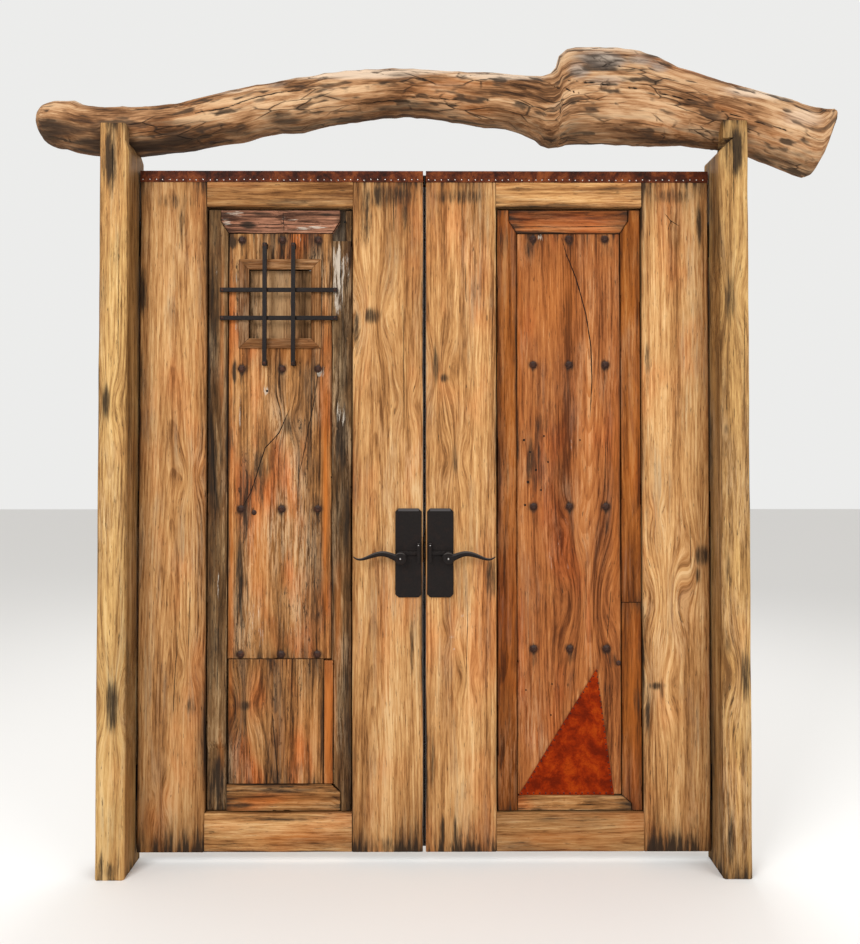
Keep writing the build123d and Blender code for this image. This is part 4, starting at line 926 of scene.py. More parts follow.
TONGUE_HEIGHT = 0.054
TONGUE_DEPTH = 0.038
TONGUE_CUT = 0.011
CORNER_CUTS = {"left_post": (0.010, 0.030), "right_post": (0.042, 0.041)}
BACK_SET_IN = 0.0005
PLATE_LENGTH = 0.114
PLATE_DEPTH = 0.036
NOTCH_INSET = 0.0031
LATCH_NOTCH = (0.0105, 0.0345)
STILE_DUSK = {"left_hinge_stile": 0.24, "left_lock_stile": 0.14}
RAIL_DUSK = {"left_top_rail": 0.50, "right_bottom_rail": 0.60, "left_bottom_rail": 0.12}
RAIL_SOOT = {"left_top_rail": 0.5, "right_bottom_rail": 0.35}


def finish_timber(name, timber, material, body, columns=None, depths=(), wear=0.0008, deep_wear=0.0,
                  edge_wear=0.0015, **layer_settings):
    timber.build(wear, deep_wear, edge_wear, columns, depths)
    seen = [known.get(name, ()) for known in (MARKS, CRACKS, KNOTS, PAINT, BLUSH)]
    layers = timber_layers(timber, *seen, **layer_settings)
    make_timber_object(name, timber.positions(), timber.faces(), material, layers, body)


def hinge_notches(node, side):
    """The pockets that the hinge plates lie in, on one side of a timber."""
    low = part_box(node)[0][2]
    first = low + PLATE_LENGTH / 2
    middles = (first, (LEAF_LOW + LEAF_HIGH) / 2, LEAF_HIGH - (first - LEAF_LOW))
    deep = LEAF_BACK - PLATE_DEPTH
    return [(z - PLATE_LENGTH / 2, z + PLATE_LENGTH / 2, deep, 1.0, side, NOTCH_INSET) for z in middles]


def plate_notch(node, side):
    """The pocket that a latch plate lies in, on one side of a stile."""
    (_, _, z0), (_, _, z1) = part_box(node)
    return [(z0, z1, *LATCH_NOTCH, side, NOTCH_INSET)]


def make_post(name, side, seed):
    """A post whose top is cut back to a tongue, with the log behind it."""
    (x0, y0, z0), (x1, y1, z1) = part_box(name)
    shoulder = z1 - TONGUE_HEIGHT
    cut, fall = CORNER_CUTS[name]
    inner, outer = (x1, x0) if side < 0 else (x0, x1)
    edge = [(z0, inner), (shoulder - fall, inner), (shoulder, inner + side * cut),
            (shoulder, inner + side * TONGUE_CUT), (z1, inner + side * TONGUE_CUT)]
    back_face, tongue_back = y1 - BACK_SET_IN, y0 + TONGUE_DEPTH
    back = [(z0, back_face), (shoulder, back_face), (shoulder, tongue_back), (z1, tongue_back)]
    near, far = (outer, edge) if side < 0 else (edge, outer)
    timber = Timber("z", z0, z1, near, far, y0, back, seed, pitch=0.005, steps=(shoulder,), radius=0.004)
    timber.notches = hinge_notches(name.split("_")[0] + "_hinge_post_plates", -side)
    share = (LEAF_BACK - PLATE_DEPTH - y0) / (y1 - y0)
    # The posts' side faces get painted shade, 0.62 strong
    finish_timber(name, timber, olive, "root", depths=(share - 0.003, share + 0.003), wear=0.0012,
                  edge_wear=0.004, ends=0.8, edges=0.5, pith=0.03, side_dusk=0.62)


def make_stile(name, seed, notches, depths):
    (x0, y0, z0), (x1, y1, z1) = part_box(name)
    timber = Timber("z", z0, z1, x0, x1, y0, y1 - BACK_SET_IN, seed=seed)
    timber.notches = notches
    # edges=0.9 darkens the stile's edges: dirt, with painted shade along the gaps round the old boards
    finish_timber(name, timber, honey, name.split("_")[0] + "_leaf", depths=depths, ends=1.0, edges=0.9,
                  end_reach=0.075, dusk=STILE_DUSK.get(name, 0.04))


def make_rail(name, seed):
    """The visible length of a rail, between the stiles."""
    side = name.split("_")[0]
    (_, y0, z0), (_, y1, z1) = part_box(name)
    stiles = [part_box(side + "_hinge_stile"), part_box(side + "_lock_stile")]
    stiles.sort(key=lambda box: box[0][0])
    timber = Timber("x", stiles[0][1][0], stiles[1][0][0], z0, z1, y0, y1 - BACK_SET_IN, seed=seed)
    finish_timber(name, timber, honey, side + "_leaf", ends=0.3, edges=0.8, soot=RAIL_SOOT.get(name, 0.1),
                  dusk=RAIL_DUSK.get(name, 0.0))


make_post("left_post", -1, 3)
make_post("right_post", 1, 4)
hinge_share = (LEAF_BACK - PLATE_DEPTH - LEAF_FRONT) / (LEAF_BACK - LEAF_FRONT)
hinge_depths = (hinge_share - 0.006, hinge_share + 0.006)
latch_depths = (0.226, 0.240, 0.760, 0.774)
make_stile("left_hinge_stile", 11, hinge_notches("left_hinge_leaf_plates", -1), hinge_depths)
make_stile("left_lock_stile", 12, plate_notch("strike_plate", 1), latch_depths)
make_stile("right_lock_stile", 13, plate_notch("latch_case", -1), latch_depths)
make_stile("right_hinge_stile", 14, hinge_notches("right_hinge_leaf_plates", 1), hinge_depths)
make_rail("left_top_rail", 21)
make_rail("left_bottom_rail", 22)
make_rail("right_top_rail", 23)
make_rail("right_bottom_rail", 24)


# Old door pieces. Places are across and down from each inset's top left corner, as in the frame

INSET_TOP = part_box("left_top_rail")[0][2]
INSET_LEFT = {"left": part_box("left_hinge_stile")[1][0], "right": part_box("right_lock_stile")[1][0]}
INSET_WIDE = 0.467
EAR = 0.025
EAR_DROP = 0.035
FOOT_EAR = 0.030
FOOT_CLIP = 0.025
ROTTEN_FOOT = 0.220
SPLINTER = 0.008
MISSING_TOP = 0.100
MISSING_WIDE = 0.021
BOARD_GAP = 0.0015
OPENING_GAP = 0.003
NAIL_ROWS = {"left": (0.104, 0.519, 0.968, 1.431), "right": (0.100, 0.506, 0.961, 1.414)}
NAIL_COLUMNS = {"left": (-0.1235, 0.0065, 0.1215), "right": (-0.1135, 0.0015, 0.1185)}


def nail_spots(side):
    """X and Z of the forged nails in one panel, which have rust round them."""
    middle = INSET_LEFT[side] + INSET_WIDE / 2
    return [(middle + column, INSET_TOP - row) for row in NAIL_ROWS[side] for column in NAIL_COLUMNS[side]]


def make_old_left_stile(side, material, seed):
    """A stile whose top is cut back for the top rail's ear. The left one's foot is rotten."""
    name = side + "_old_left_stile"
    (x0, y0, z0), (x1, y1, z1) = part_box(name)
    rail_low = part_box(side + "_old_top_rail")[0][2]
    far = [(z0, x1), (rail_low, x1), (z1 - EAR_DROP, x1 - EAR), (z1, x1 - EAR)]
    front, rough, soot = y0, 0.0008, 0.12
    if side == "left":
        foot = z0 + ROTTEN_FOOT
        front = [(z0, y0 + SPLINTER), (foot - 0.03, y0 + SPLINTER), (foot, y0), (z1, y0)]
        rough, soot = 0.0022, 0.35
    timber = Timber("z", z0, z1, x0, far, front, y1, seed=seed)
    finish_timber(name, timber, material, side + "_leaf", wear=0.001, deep_wear=rough, ends=0.6, edges=0.7,
                  soot=soot)


def make_left_old_right_stile():
    """A stile with its top broken away in part, cut back beside the patch strip and over the rail's ear."""
    name = "left_old_right_stile"
    (x0, y0, z0), (x1, y1, z1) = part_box(name)
    rail_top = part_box("left_old_bottom_rail")[1][2]
    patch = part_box("left_patch_strip")[1]
    patch_top = patch[2] + BOARD_GAP
    strip_edge = patch[0] + BOARD_GAP
    missing = z1 - MISSING_TOP
    near = [(z0, x0 + FOOT_EAR), (rail_top - FOOT_CLIP, x0 + FOOT_EAR), (rail_top + 0.002, strip_edge),
            (patch_top, strip_edge), (patch_top, x0), (missing, x0),
            (missing, x1 - MISSING_WIDE), (z1, x1 - MISSING_WIDE)]
    front = [(z0, y0), (missing, y0), (missing, y0 + SPLINTER), (z1, y0 + SPLINTER)]
    timber = Timber("z", z0, z1, near, x1, front, y1, seed=33, steps=(missing, patch_top))
    finish_timber(name, timber, old_grey, "left_leaf", wear=0.0012, deep_wear=0.0026, ends=0.5, edges=0.7,
                  soot=0.4)


def make_spliced_stile(name, near, seed):
    (_, y0, z0), (x1, y1, z1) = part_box(name)
    timber = Timber("z", z0, z1, near, x1, y0, y1, seed=seed)
    finish_timber(name, timber, deep_brown, "right_leaf", deep_wear=0.0006, soot=0.10)


def make_spliced_stiles():
    """The right leaf's old right stile, in an upper and a lower length."""
    (x0, _, z0), (_, _, z1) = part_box("right_old_upper_stile")
    rail_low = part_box("right_old_top_rail")[0][2]
    near = [(z0, x0), (rail_low, x0), (z1 - EAR_DROP, x0 + EAR), (z1, x0 + EAR)]
    make_spliced_stile("right_old_upper_stile", near, 35)
    (x0, _, z0), (_, _, z1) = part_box("right_old_lower_stile")
    rail_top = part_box("right_old_bottom_rail")[1][2]
    near = [(z0, x0 + FOOT_EAR), (rail_top - FOOT_CLIP, x0 + FOOT_EAR), (rail_top, x0), (z1, x0)]
    make_spliced_stile("right_old_lower_stile", near, 36)


def make_old_top_rail(side, material, seed, rough):
    name = side + "_old_top_rail"
    (x0, y0, z0), (x1, y1, z1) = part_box(name)
    ear = z1 - EAR_DROP
    near = [(x0, ear), (x0 + EAR, z0), (x1 - EAR, z0), (x1, ear)]
    timber = Timber("x", x0, x1, near, z1, y0, y1, seed=seed)
    finish_timber(name, timber, material, side + "_leaf", deep_wear=rough, ends=0.7, edges=0.8,
                  soot=rough * 150)


def make_old_bottom_rail(side, material, seed):
    name = side + "_old_bottom_rail"
    (x0, y0, z0), (x1, y1, z1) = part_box(name)
    far = [(x0, z1), (x1 - FOOT_EAR, z1), (x1, z1 - FOOT_CLIP)]
    timber = Timber("x", x0, x1, z0, far, y0, y1, seed=seed)
    finish_timber(name, timber, material, side + "_leaf", deep_wear=0.002, ends=0.6, edges=0.8, soot=0.3)


def make_left_panel():
    """The panel with the window's opening, whose columns meet the opening's sides."""
    name = "left_panel_board"
    (x0, y0, z0), (x1, y1, z1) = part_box(name)
    (left, _, low), (right, _, high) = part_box("window_shutter")
    low, high = low - OPENING_GAP, high + OPENING_GAP
    left_share = (left - OPENING_GAP - x0) / (x1 - x0)
    right_share = (right + OPENING_GAP - x0) / (x1 - x0)
    columns = np.concatenate([np.linspace(0, left_share, 16), np.linspace(left_share, right_share, 50)[1:],
                              np.linspace(right_share, 1, 17)[1:]])
    timber = Timber("z", z0, z1, x0, x1, y0, y1, seed=51, steps=(low, high))
    timber.holes = [(15, 64, low, high)]
    finish_timber(name, timber, old_tan, "left_leaf", columns=columns, wear=0.001, nails=nail_spots("left"),
                  deep_wear=0.0022, ends=0.35, edges=0.6, soot=0.5)


def make_plain_board(name, body, material, seed, **settings):
    (x0, y0, z0), (x1, y1, z1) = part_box(name)
    timber = Timber("z", z0, z1, x0, x1, y0, y1, seed=seed)
    finish_timber(name, timber, material, body, deep_wear=0.0012, edges=0.6, **settings)


make_old_left_stile("left", old_grey, 31)
make_old_left_stile("right", deep_brown, 32)
make_left_old_right_stile()
make_spliced_stiles()
make_old_top_rail("left", old_pink, 41, 0.0026)
make_old_top_rail("right", old_red, 42, 0.0008)
make_old_bottom_rail("left", old_tan, 43)
make_old_bottom_rail("right", old_tan, 44)
make_left_panel()
make_plain_board("right_panel_board", "right_leaf", old_red, 52, wear=0.001, nails=nail_spots("right"),
                 ends=0.35, soot=0.25)
make_plain_board("left_patch_board", "left_leaf", old_tan, 53, ends=0.5, soot=0.2)
make_plain_board("left_patch_strip", "left_leaf", old_red, 54, ends=0.5, soot=0.2)


# Log, from the outline of its top and underside in the photograph

LOG_TOP = [
    (32.4, 118), (34.3, 108), (43.9, 100), (54.8, 97.3), (74, 97.3), (82.3, 101), (101.5, 103.6),
    (137, 104.2), (178, 101.5), (192, 98.7), (219, 92), (247, 85), (274, 81), (302, 75.4), (329, 71.8),
    (356, 69.1), (384, 67.7), (430, 69), (457, 70.7), (485, 71.8), (512, 74.6), (540, 74), (550.6, 70.7),
    (556, 64.4), (559, 52.5), (567, 45.2), (583.6, 41.7), (600, 42.5), (622, 44.7), (641, 47.2),
    (658, 53.5), (677, 65.3), (704, 74.6), (732, 82.8), (759, 90.5), (786, 98.2), (814, 107.5),
    (825, 111.1), (828.4, 115.2),
]
LOG_LOW = [
    (32.4, 120), (35.6, 131.6), (41, 139.8), (52, 145.3), (59, 146), (71, 149.4), (82, 151.6),
    (98, 153.6), (137, 154.4), (164, 152.2), (192, 149), (219, 144), (240, 141.2), (258, 136.3),
    (280, 132.2), (302, 131.6), (329, 124.8), (359, 120.7), (384, 117.4), (411, 116.5), (430, 118.5),
    (457, 122), (482, 125.6), (507, 128.3), (523, 133), (537, 138.5), (542.4, 144), (550.6, 147.5),
    (559, 146.7), (567, 143.7), (581, 143.1), (608, 144), (636, 144.8), (663, 146.1), (685, 145.3),
    (707, 148.1), (721, 149.4), (749, 155.7), (771, 164.5), (797, 175.5), (805.7, 177.7), (811, 175.5),
    (818, 161.8), (825, 137), (828.4, 116),
]
LOG_PALE = [
    (360, 80, 90, 9, 1.0), (500, 82, 60, 8, 0.9), (760, 100, 60, 10, 0.9), (420, 76, 60, 6, 0.9),
    (70, 102, 24, 4, 0.6), (240, 96, 40, 5, 0.5), (600, 48, 30, 4, 0.9), (35, 118, 4, 14, 0.8),
    (790, 128, 30, 16, 0.6), (450, 95, 40, 8, 0.4),
]
LOG_GREY = [
    (600, 62, 34, 20, 1.0), (640, 62, 24, 14, 0.9), (655, 70, 16, 14, 0.8), (575, 78, 16, 16, 0.7),
    (280, 88, 20, 10, 0.7), (560, 118, 30, 10, 0.4), (170, 110, 30, 6, 0.5), (600, 92, 30, 8, 0.5),
    (330, 96, 16, 8, 0.3),
]
LOG_DARK = [
    (60, 136, 26, 12, 0.8), (105, 140, 16, 18, 0.9), (180, 146, 50, 6, 0.8), (285, 124, 26, 8, 0.9),
    (240, 136, 30, 5, 0.7), (400, 112, 60, 5, 0.7), (500, 124, 40, 4, 0.7), (590, 62, 12, 7, 0.8),
    (606, 72, 12, 5, 0.8), (650, 58, 14, 7, 0.8), (665, 66, 10, 5, 0.7), (560, 56, 4, 10, 0.7),
    (620, 142, 60, 4, 0.6), (712, 140, 12, 16, 0.6), (780, 162, 30, 5, 0.6), (550, 142, 10, 5, 0.8),
    (400, 82, 20, 4, 0.6), (440, 88, 16, 4, 0.5), (330, 106, 26, 4, 0.5),
]
LOG_CLEFTS = [
    (0.0022, [(192, 122), (230, 116), (262, 104), (290, 99), (320, 97)]),
    (0.002, [(560, 90), (590, 94), (620, 98), (650, 103), (690, 113)]),
    (0.0016, [(120, 116), (160, 112), (200, 113)]), (0.0018, [(400, 104), (430, 106), (462, 109)]),
    (0.0016, [(540, 86), (552, 96), (575, 104)]), (0.0014, [(486, 108), (488, 120)]),
    (0.0014, [(650, 120), (653, 132)]), (0.0014, [(684, 128), (686, 140)]),
    (0.0016, [(585, 58), (610, 72), (622, 76)]), (0.0016, [(700, 118), (740, 130), (780, 142)]),
    (0.0014, [(352, 80), (372, 78), (396, 84)]), (0.0014, [(430, 80), (446, 84), (470, 82)]),
    (0.0016, [(350, 112), (390, 108), (420, 110)]), (0.0014, [(640, 138), (680, 141), (706, 146)]),
    (0.0012, [(505, 90), (520, 96)]),
]
LOG_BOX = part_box("header_log")
LOG_PLANE = (LOG_BOX[0][1] + LOG_BOX[1][1]) / 2 - 0.01
LOG_STATIONS = 520
LOG_SIDES = 150


def log_outline():
    """X, top and underside at each station along the log, closer at its left end."""
    (box_x0, _, box_z0), (box_x1, _, box_z1) = LOG_BOX
    top = np.array([on_plane(px, py, LOG_PLANE) for px, py in LOG_TOP])
    low = np.array([on_plane(px, py, LOG_PLANE) for px, py in LOG_LOW])
    left = max(min(top[0, 0], low[0, 0]), box_x0) + 0.0005
    right = min(max(top[-1, 0], low[-1, 0]), box_x1) - 0.0005
    inner = np.linspace(0, 1, LOG_STATIONS)
    share = 0.5 - 0.5 * np.cos(inner * math.pi)
    x = left + (right - left) * (0.25 * share + 0.75 * inner)
    tops = np.interp(x, top[:, 0], top[:, 1]) - 0.002 - np.abs(0.004 * value_noise(x * 14, 0, 0, 70))
    lows = np.interp(x, low[:, 0], low[:, 1]) + 0.002 + np.abs(0.004 * value_noise(x * 17, 3, 0, 71))
    return x, np.minimum(tops, box_z1 - 0.001), np.maximum(lows, box_z0 + 0.001)


def log_section(x, half):
    """The middle and half of the log's depth at each station. The burl is flatter above."""
    left, right = x[0], x[-1]
    spots = [left, -0.9, 0.0, 0.5, right]
    thick = np.interp(x, spots, [0.088, 0.082, 0.078, 0.100, 0.092])
    centre = np.interp(x, spots, [0.033, 0.013, 0.003, 0.011, -0.005])
    close = np.clip((x - left) / 0.055, 0, 1)
    thick = thick * np.sqrt(np.clip(1 - (1 - close) ** 2, 0.0004, 1))
    burl = np.clip((half - 0.10) / 0.06, 0, 1)
    return centre, thick, burl


def log_layers(x, sine, along, y, z, scales, pits):
    """How dark and how bleached the log is at each point, with painted shade on its underside."""
    dark = marks_at(x, z, LOG_DARK, LOG_PLANE)
    grain = layered_noise(along * 8, y * 60, z * 60, 3, 76)
    # Painted shade: the underside, and the lower part of the left end, are darkened as if out of the light
    under = np.clip(-sine - 0.35, 0, 1) * 0.95
    far_left = np.clip((-0.55 - x) / 0.25, 0, 1) * np.clip(0.35 - sine, 0, 1) * 0.85
    shade = np.maximum(under, far_left)
    stain_and_shade = np.clip(np.maximum(dark * (0.75 + 0.6 * grain), shade * (0.8 + 0.8 * grain)), 0, 1)
    stain_and_shade = np.maximum(stain_and_shade, np.clip(scales * 2.2, 0, 0.7) + pits * 0.45)
    upper = np.clip(sine - 0.62, 0, 1) * 1.9
    pale = np.clip(np.maximum(marks_at(x, z, LOG_PALE, LOG_PLANE), upper), 0, 1)
    return {"stain_and_shade": stain_and_shade.ravel(), "pale": pale.ravel()}


def clefts_at(x, y, z, facing):
    offset, width = cracks_at(x, z, LOG_CLEFTS, LOG_PLANE)
    offset = offset + 0.0016 * value_noise(x * 90, y, z * 90, 75)
    cleft = np.clip(1 - np.abs(offset) / np.maximum(width * 1.8, 1e-4), 0, 1)
    return np.where(width > 0.0002, cleft, 0) * facing


def log_faces(rows, count):
    index = np.arange(rows * count).reshape(rows, count)
    after = np.roll(index, -1, 1)
    quads = np.stack([index[:-1], index[1:], after[1:], after[:-1]], -1)
    return quads.reshape(-1, 4).tolist() + [index[0].tolist(), index[-1][::-1].tolist()]


def make_log():
    """The log as rings that follow its outline, ridged along the grain."""
    stops, tops, lows = log_outline()
    middle, half = (tops + lows) / 2, np.maximum((tops - lows) / 2, 0.001)
    centre, thick, burl = (values[:, None] for values in log_section(stops, half))
    walked = np.cumsum(np.hypot(np.diff(stops), np.diff(middle)))
    middle, half = middle[:, None], half[:, None]
    around = np.linspace(0, 2 * math.pi, LOG_SIDES, endpoint=False)
    cosine, sine = np.cos(around)[None, :], np.sin(around)[None, :]
    along = np.concatenate([[0], walked])[:, None] + 0 * cosine
    x = np.repeat(stops[:, None], LOG_SIDES, axis=1)
    narrow = 1 - 0.55 * burl * np.clip(sine, 0, 1) ** 1.5
    y = centre + thick * narrow * cosine
    z = middle + half * sine
    facing = np.clip(-cosine, 0, 1)
    ridge = 0.5 + 0.5 * layered_noise(along * 6, (y - centre) * 42, (z - middle) * 42, 3, 72)
    scales = np.clip(layered_noise(along * 16, y * 60, (z - middle) * 60, 3, 73) - 0.05, 0, 1)
    pits = np.clip(value_noise(along * 45, y * 110, z * 110, 74) - 0.5, 0, 1) * 2
    cleft = clefts_at(x, y, z, facing)
    damage = marks_at(x, z, LOG_GREY, LOG_PLANE) * facing
    layers = log_layers(x, sine, along, y, z, scales, pits)
    inward = 0.0045 * ridge + 0.006 * scales + 0.003 * pits + 0.006 * cleft
    inward = inward + damage * 0.008 * np.clip(scales * 3, 0, 1)
    inward = np.minimum(inward, np.minimum(half, thick) * 0.5)
    (_, box_y0, box_z0), (_, box_y1, box_z1) = LOG_BOX
    y = np.clip(y - cosine * inward, box_y0 + 0.0005, box_y1 - 0.0005)
    z = np.clip(z - sine * inward, box_z0 + 0.0005, box_z1 - 0.0005)
    verts = np.stack([x, y, z], -1).reshape(-1, 3)
    layers["grain_place"] = np.stack([y - centre, z - middle, along], -1).reshape(-1, 3)
    layers["grey"] = damage.ravel()
    layers["cleft"] = cleft.ravel()
    make_timber_object("header_log", verts, log_faces(*y.shape), log_finish, layers, "root")


make_log()


# Small pieces that the frame leaves out

INSET_FRONT = 0.0125
CAP_NAIL_PITCH = 0.0215
CAP_NAIL_RADIUS = 0.0021
CAP_NAIL_RISE = 0.0075
TACK_PITCH = 0.0195
TACK_RADIUS = 0.0024
TACK_HEIGHT = 0.0014
PATCH_APEX = (0.054, 0.006)
MOULDING_WIDE = 0.0315
MITRE_GAP = 0.0007
LIP_LAP = 0.007
PLATE_CORNER = 0.009
PLATE_THICKNESS = 0.006
LIP_HEIGHT = 0.0085
LIP_RISE = 0.0014
STRAP_X = 0.0185
STRAP_RIVET_Z = 1.008
HUB_X = 0.0755
HANDLE_Z = 0.968
PIXEL_SIZE = 0.0031
SHADE_STRIP_GAP = 0.00003
BOX_FACES = [(0, 1, 3, 2), (4, 6, 7, 5), (0, 4, 5, 1), (2, 3, 7, 6), (0, 2, 6, 4), (1, 5, 7, 3)]

# Dark holes in the old boards: x and y in the photograph, and a radius in its pixels
PEG_HOLES = {
    "left_leaf": [
        (217, 719, 2.0), (213, 221, 1.6), (267, 391, 1.2), (345, 222, 1.4), (216, 470, 1.0),
        (343, 410, 1.1), (346, 436, 1.2), (341, 462, 1.0), (345, 480, 1.3), (348, 500, 1.0),
        (340, 470, 0.9), (344, 556, 1.2), (214, 552, 1.2), (219, 520, 0.9), (212, 600, 1.0),
    ],
    "right_leaf": [
        (503.6, 232.8, 1.7), (635.3, 231.2, 1.7), (510.3, 791.5, 1.7), (639.4, 791.2, 1.7),
        (638.1, 713.9, 1.5), (524, 440, 1.2), (530, 452, 1.0), (536, 470, 1.2), (528, 482, 1.4),
        (541, 490, 1.0), (544, 436, 0.9), (552, 684, 0.8), (526, 690, 0.8), (580, 440, 0.8),
        (548, 462, 0.9), (525, 505, 1.2), (551, 715, 0.8),
    ],
}


def dome(verts, faces, centre, radius, height, sides=10, rings=2):
    """Adds a low dome that faces the front."""
    start = len(verts)
    for ring in range(rings):
        turn = ring / rings * math.pi / 2
        for side in range(sides):
            angle = side / sides * 2 * math.pi
            reach = radius * math.cos(turn)
            verts.append((centre[0] + reach * math.cos(angle), centre[1] - height * math.sin(turn),
                          centre[2] + reach * math.sin(angle)))
    verts.append((centre[0], centre[1] - height, centre[2]))
    for ring in range(rings - 1):
        for side in range(sides):
            a = start + ring * sides + side
            b = start + ring * sides + (side + 1) % sides
            faces.append((a, b, b + sides, a + sides))
    last = start + (rings - 1) * sides
    for side in range(sides):
        faces.append((last + side, last + (side + 1) % sides, start + rings * sides))


def small_group(name, verts, faces, material, body, smooth=True):
    return make_object(name, verts, faces, material, body, [smooth] * len(faces))


def make_domes(name, centres, radius, height, material, body, sides=10, rings=2):
    verts, faces = [], []
    for centre in centres:
        dome(verts, faces, centre, radius, height, sides, rings)
    small_group(name, verts, faces, material, body)


def make_box(name, xs, ys, zs, material, body, smooth=True):
    verts = [(x, y, z) for x in xs for y in ys for z in zs]
    small_group(name, verts, BOX_FACES, material, body, smooth)


def make_cap_nails(side, seed):
    (x0, y0, z0), (x1, _, _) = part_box(side + "_cap")
    rng = random.Random(seed)
    centres = []
    count = int((x1 - x0 - 0.012) / CAP_NAIL_PITCH)
    for index in range(count + 1):
        x = x0 + 0.008 + index * CAP_NAIL_PITCH + rng.uniform(-0.0015, 0.0015)
        centres.append((x, y0, z0 + CAP_NAIL_RISE + rng.uniform(-0.0012, 0.0012)))
    make_domes(side + "_cap_nails", centres, CAP_NAIL_RADIUS, TACK_HEIGHT, bright_nail, side + "_leaf", 8)


def make_patch_tacks():
    """Tacks along the three edges of the triangular patch."""
    (x0, y0, z0), (x1, _, z1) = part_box("right_patch")
    left, right = (x0 + 0.008, z0 + 0.005), (x1 - 0.006, z0 + 0.005)
    apex = (x1 - PATCH_APEX[0], z1 - PATCH_APEX[1])
    centres = []
    for start, end in ((left, right), (right, apex), (apex, left)):
        count = round(math.dist(start, end) / TACK_PITCH)
        for index in range(count):
            share = index / count
            x = start[0] + (end[0] - start[0]) * share
            z = start[1] + (end[1] - start[1]) * share
            centres.append((x, y0, z))
    make_domes("patch_tacks", centres, TACK_RADIUS, TACK_HEIGHT, black_iron, "right_leaf", 8)


def make_holes(body):
    """Peg and worm holes, as dark dots a hair in front of the old boards: painted shade for the holes'
    depth.
    """
    verts, faces = [], []
    for px, py, radius in PEG_HOLES[body]:
        x, z = on_plane(px, py, INSET_FRONT)
        dome(verts, faces, (x, INSET_FRONT, z), radius * PIXEL_SIZE, 0.0004, 12)
    small_group(body + "_peg_holes", verts, faces, hole_shade_black, body)


def make_meeting_gap_shades():
    """A near-black strip in each meeting edge: painted shade, so the gap between the leaves reads dark."""
    left_edge, right_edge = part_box("left_lock_stile")[1][0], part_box("right_lock_stile")[0][0]
    ys = (LEAF_BACK - 0.008, LEAF_BACK - 0.003)
    zs = (LEAF_LOW + 0.002, LEAF_HIGH)
    for body, xs in (("left_leaf", (left_edge, -SHADE_STRIP_GAP)), ("right_leaf", (SHADE_STRIP_GAP, right_edge))):
        make_box(body + "_meeting_gap_shade", xs, ys, zs, gap_shade_black, body)


def make_plate_lip(side):
    """The lip along a plate's top, coloured lighter as a painted highlight."""
    (x0, _, _), (x1, _, z1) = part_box(side + "_front_plate")
    low, high = x0 + PLATE_CORNER, x1 - PLATE_CORNER
    top, foot = z1 - 0.0006, z1 - LIP_HEIGHT
    behind, proud = 0.001 - PLATE_THICKNESS, -PLATE_THICKNESS - LIP_RISE
    upper_proud = proud + 0.0008
    verts = [(low, behind, foot), (high, behind, foot), (high, proud, foot), (low, proud, foot),
             (low, behind, top), (high, behind, top), (high, upper_proud, top), (low, upper_proud, top)]
    faces = [(0, 1, 2, 3), (7, 6, 5, 4), (2, 6, 7, 3), (4, 5, 1, 0), (3, 7, 4, 0), (5, 6, 2, 1)]
    small_group(side + "_plate_lip", verts, faces, plate_lip_highlight, side + "_leaf", smooth=False)


def make_fitting_trim(side, hand):
    """A plate's lip, the rivet of its guide strap and the one in the lever's boss, all coloured bright as
    painted highlights.
    """
    make_plate_lip(side)
    strap = (hand * STRAP_X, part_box(side + "_front_plate")[0][1], STRAP_RIVET_Z)
    make_domes(side + "_strap_rivet", [strap], 0.0019, 0.001, rivet_highlight_steel, side + "_leaf")
    boss = (hand * HUB_X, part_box(side + "_front_lever")[0][1], HANDLE_Z)
    make_domes(side + "_boss_rivet", [boss], 0.0026, 0.0012, rivet_highlight_steel, side + "_lever", 12)


def make_moulding():
    """Four mitred strips round the window, which slope towards it."""
    (x0, y0, z0), (x1, y1, z1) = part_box("window_moulding")
    profile = [(0.0, y1 - 0.0004), (0.0, y0 + 0.0022), (0.006, y0 + 0.0003), (0.014, y0 + 0.0012),
               (MOULDING_WIDE, y1 - 0.0016), (MOULDING_WIDE, y1 - 0.0004)]
    corners = [(x0, z0, 1, 1), (x1, z0, -1, 1), (x1, z1, -1, -1), (x0, z1, 1, -1)]
    steps = [(1, 0), (0, 1), (-1, 0), (0, -1)]
    count = len(profile)
    verts, faces, slots = [], [], []
    for side, (step_x, step_z) in enumerate(steps):
        start = len(verts)
        for end, pull in ((side, MITRE_GAP), ((side + 1) % 4, -MITRE_GAP)):
            corner_x, corner_z, in_x, in_z = corners[end]
            for reach, y in profile:
                x = corner_x + in_x * reach + step_x * pull
                verts.append((x, y, corner_z + in_z * reach + step_z * pull))
        for k in range(count):
            after = (k + 1) % count
            faces.append((start + k, start + count + k, start + count + after, start + after))
        faces.append(tuple(start + k for k in range(count)))
        faces.append(tuple(start + count + k for k in reversed(range(count))))
        slots += [1 - side % 2] * (count + 2)
    made = small_group("window_moulding_strips", verts, faces, upright_moulding, "left_leaf", smooth=False)
    made.data.materials.append(level_moulding)
    made.data.polygons.foreach_set("material_index", slots)
    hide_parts("window_moulding")


def make_shutter_lip():
    """A thin board on the back of the shutter that laps the opening's edge, so no light comes past it."""
    (x0, _, z0), (x1, y1, z1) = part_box("window_shutter")
    xs = (x0 - LIP_LAP, x1 - 0.010)
    ys = (y1 + 0.0003, y1 + 0.0023)
    zs = (z0 - LIP_LAP, z1 + LIP_LAP)
    make_box("shutter_lap_board", xs, ys, zs, shutter_wood, "window_shutter", smooth=False)


def make_extra_nail(body, px, py):
    """A forged nail outside the even rows."""
    x, z = on_plane(px, py, INSET_FRONT)
    make_domes(body + "_extra_nails", [(x, INSET_FRONT, z)], 0.0085, 0.004, nail_iron, body, 10, 3)


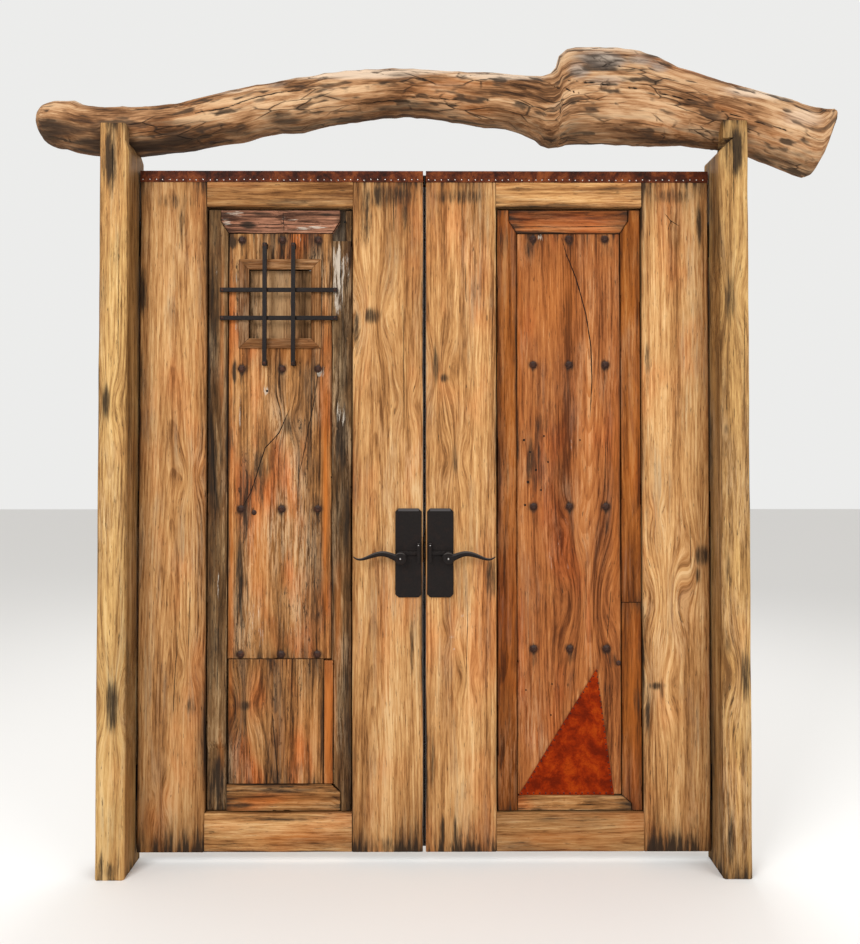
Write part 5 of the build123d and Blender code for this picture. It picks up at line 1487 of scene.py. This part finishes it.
make_cap_nails("left", 5)
make_cap_nails("right", 6)
make_fitting_trim("left", -1)
make_fitting_trim("right", 1)
make_moulding()
make_shutter_lip()
make_extra_nail("left_leaf", 254, 512.5)
make_extra_nail("right_leaf", 618.5, 663)
make_patch_tacks()
make_holes("left_leaf")
make_holes("right_leaf")
make_meeting_gap_shades()


# Finishes of the frame's own meshes. What no list names is forged iron
FINISH = {
    cap_hide: ["left_cap", "right_cap"],
    patch_hide: ["right_patch"],
    backing_wood: ["left_backing_board", "right_backing_board"],
    shutter_wood: ["window_shutter", "shutter_pull"],
    nail_iron: ["left_clavos", "right_clavos"],
}


def dress_nodes():
    finish_of = {node: material for material, nodes in FINISH.items() for node in nodes}
    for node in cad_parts:
        thing = bpy.data.objects.get(node)
        if thing is None:
            continue
        thing.data.materials.clear()
        thing.data.materials.append(finish_of.get(node, black_iron))
        soften = thing.modifiers.new("soft_edges", "BEVEL")
        soften.width = 0.0006
        soften.segments = 2
        soften.limit_method = "ANGLE"
        soften.angle_limit = math.radians(50)


dress_nodes()


# Floor, light and camera


def make_stage():
    bpy.ops.mesh.primitive_plane_add(size=30.0, location=(0, 0, 0))
    floor = bpy.context.object
    floor.name = "floor"
    floor.data.materials.append(plain_paint("floor_pale", (0.84, 0.835, 0.82)))


def make_world():
    """Soft light from all round, with a paler sheet for what the camera sees directly."""
    world = bpy.data.worlds.new("soft_world")
    bpy.context.scene.world = world
    world.use_nodes = True
    tree = world.node_tree
    glow = tree.nodes["Background"]
    glow.inputs["Color"].default_value = (1.0, 0.985, 0.965, 1.0)
    glow.inputs["Strength"].default_value = 0.75
    sheet = tree.nodes.new("ShaderNodeBackground")
    sheet.inputs["Color"].default_value = (0.84, 0.84, 0.83, 1.0)
    path = tree.nodes.new("ShaderNodeLightPath")
    mix = tree.nodes.new("ShaderNodeMixShader")
    seen = path.outputs["Is Camera Ray"]
    for ray in ("Is Glossy Ray", "Is Transmission Ray"):
        either = tree.nodes.new("ShaderNodeMath")
        either.operation = "MAXIMUM"
        tree.links.new(seen, either.inputs[0])
        tree.links.new(path.outputs[ray], either.inputs[1])
        seen = either.outputs[0]
    tree.links.new(seen, mix.inputs["Fac"])
    tree.links.new(glow.outputs[0], mix.inputs[1])
    tree.links.new(sheet.outputs[0], mix.inputs[2])
    tree.links.new(mix.outputs[0], tree.nodes["World Output"].inputs["Surface"])


def area_light(name, place, aim, size, power):
    data = bpy.data.lights.new(name, "AREA")
    data.shape = "RECTANGLE"
    data.size, data.size_y = size
    data.energy = power
    lamp = bpy.data.objects.new(name, data)
    bpy.context.collection.objects.link(lamp)
    lamp.location = place
    across, forward, rise = (a - b for a, b in zip(aim, place))
    tilt = math.atan2(math.hypot(across, forward), -rise)
    lamp.rotation_euler = (tilt, 0.0, math.atan2(-across, forward))


def make_camera():
    data = bpy.data.cameras.new("photo_camera")
    data.sensor_fit = "HORIZONTAL"
    data.sensor_width = 36.0
    data.lens = FOCAL_PIXELS / PHOTO_WIDTH * data.sensor_width
    data.shift_y = (HORIZON_CENTRE - PHOTO_HEIGHT / 2) / PHOTO_WIDTH
    camera = bpy.data.objects.new("photo_camera", data)
    bpy.context.collection.objects.link(camera)
    camera.location = CAMERA_PLACE
    camera.rotation_euler = (math.pi / 2 + CAMERA_PITCH, 0.0, CAMERA_YAW)
    bpy.context.scene.camera = camera


make_stage()
make_world()
area_light("key", (-2.3, -3.7, 3.8), (0, 0, 1.2), (2.0, 2.0), 150.0)
area_light("fill", (3.2, -3.0, 2.2), (0, 0, 1.1), (3.0, 3.0), 75.0)
area_light("rim", (0.5, 3.0, 3.6), (0, 0, 1.4), (2.5, 1.5), 60.0)
make_camera()
bpy.context.scene.view_settings.view_transform = "Standard"
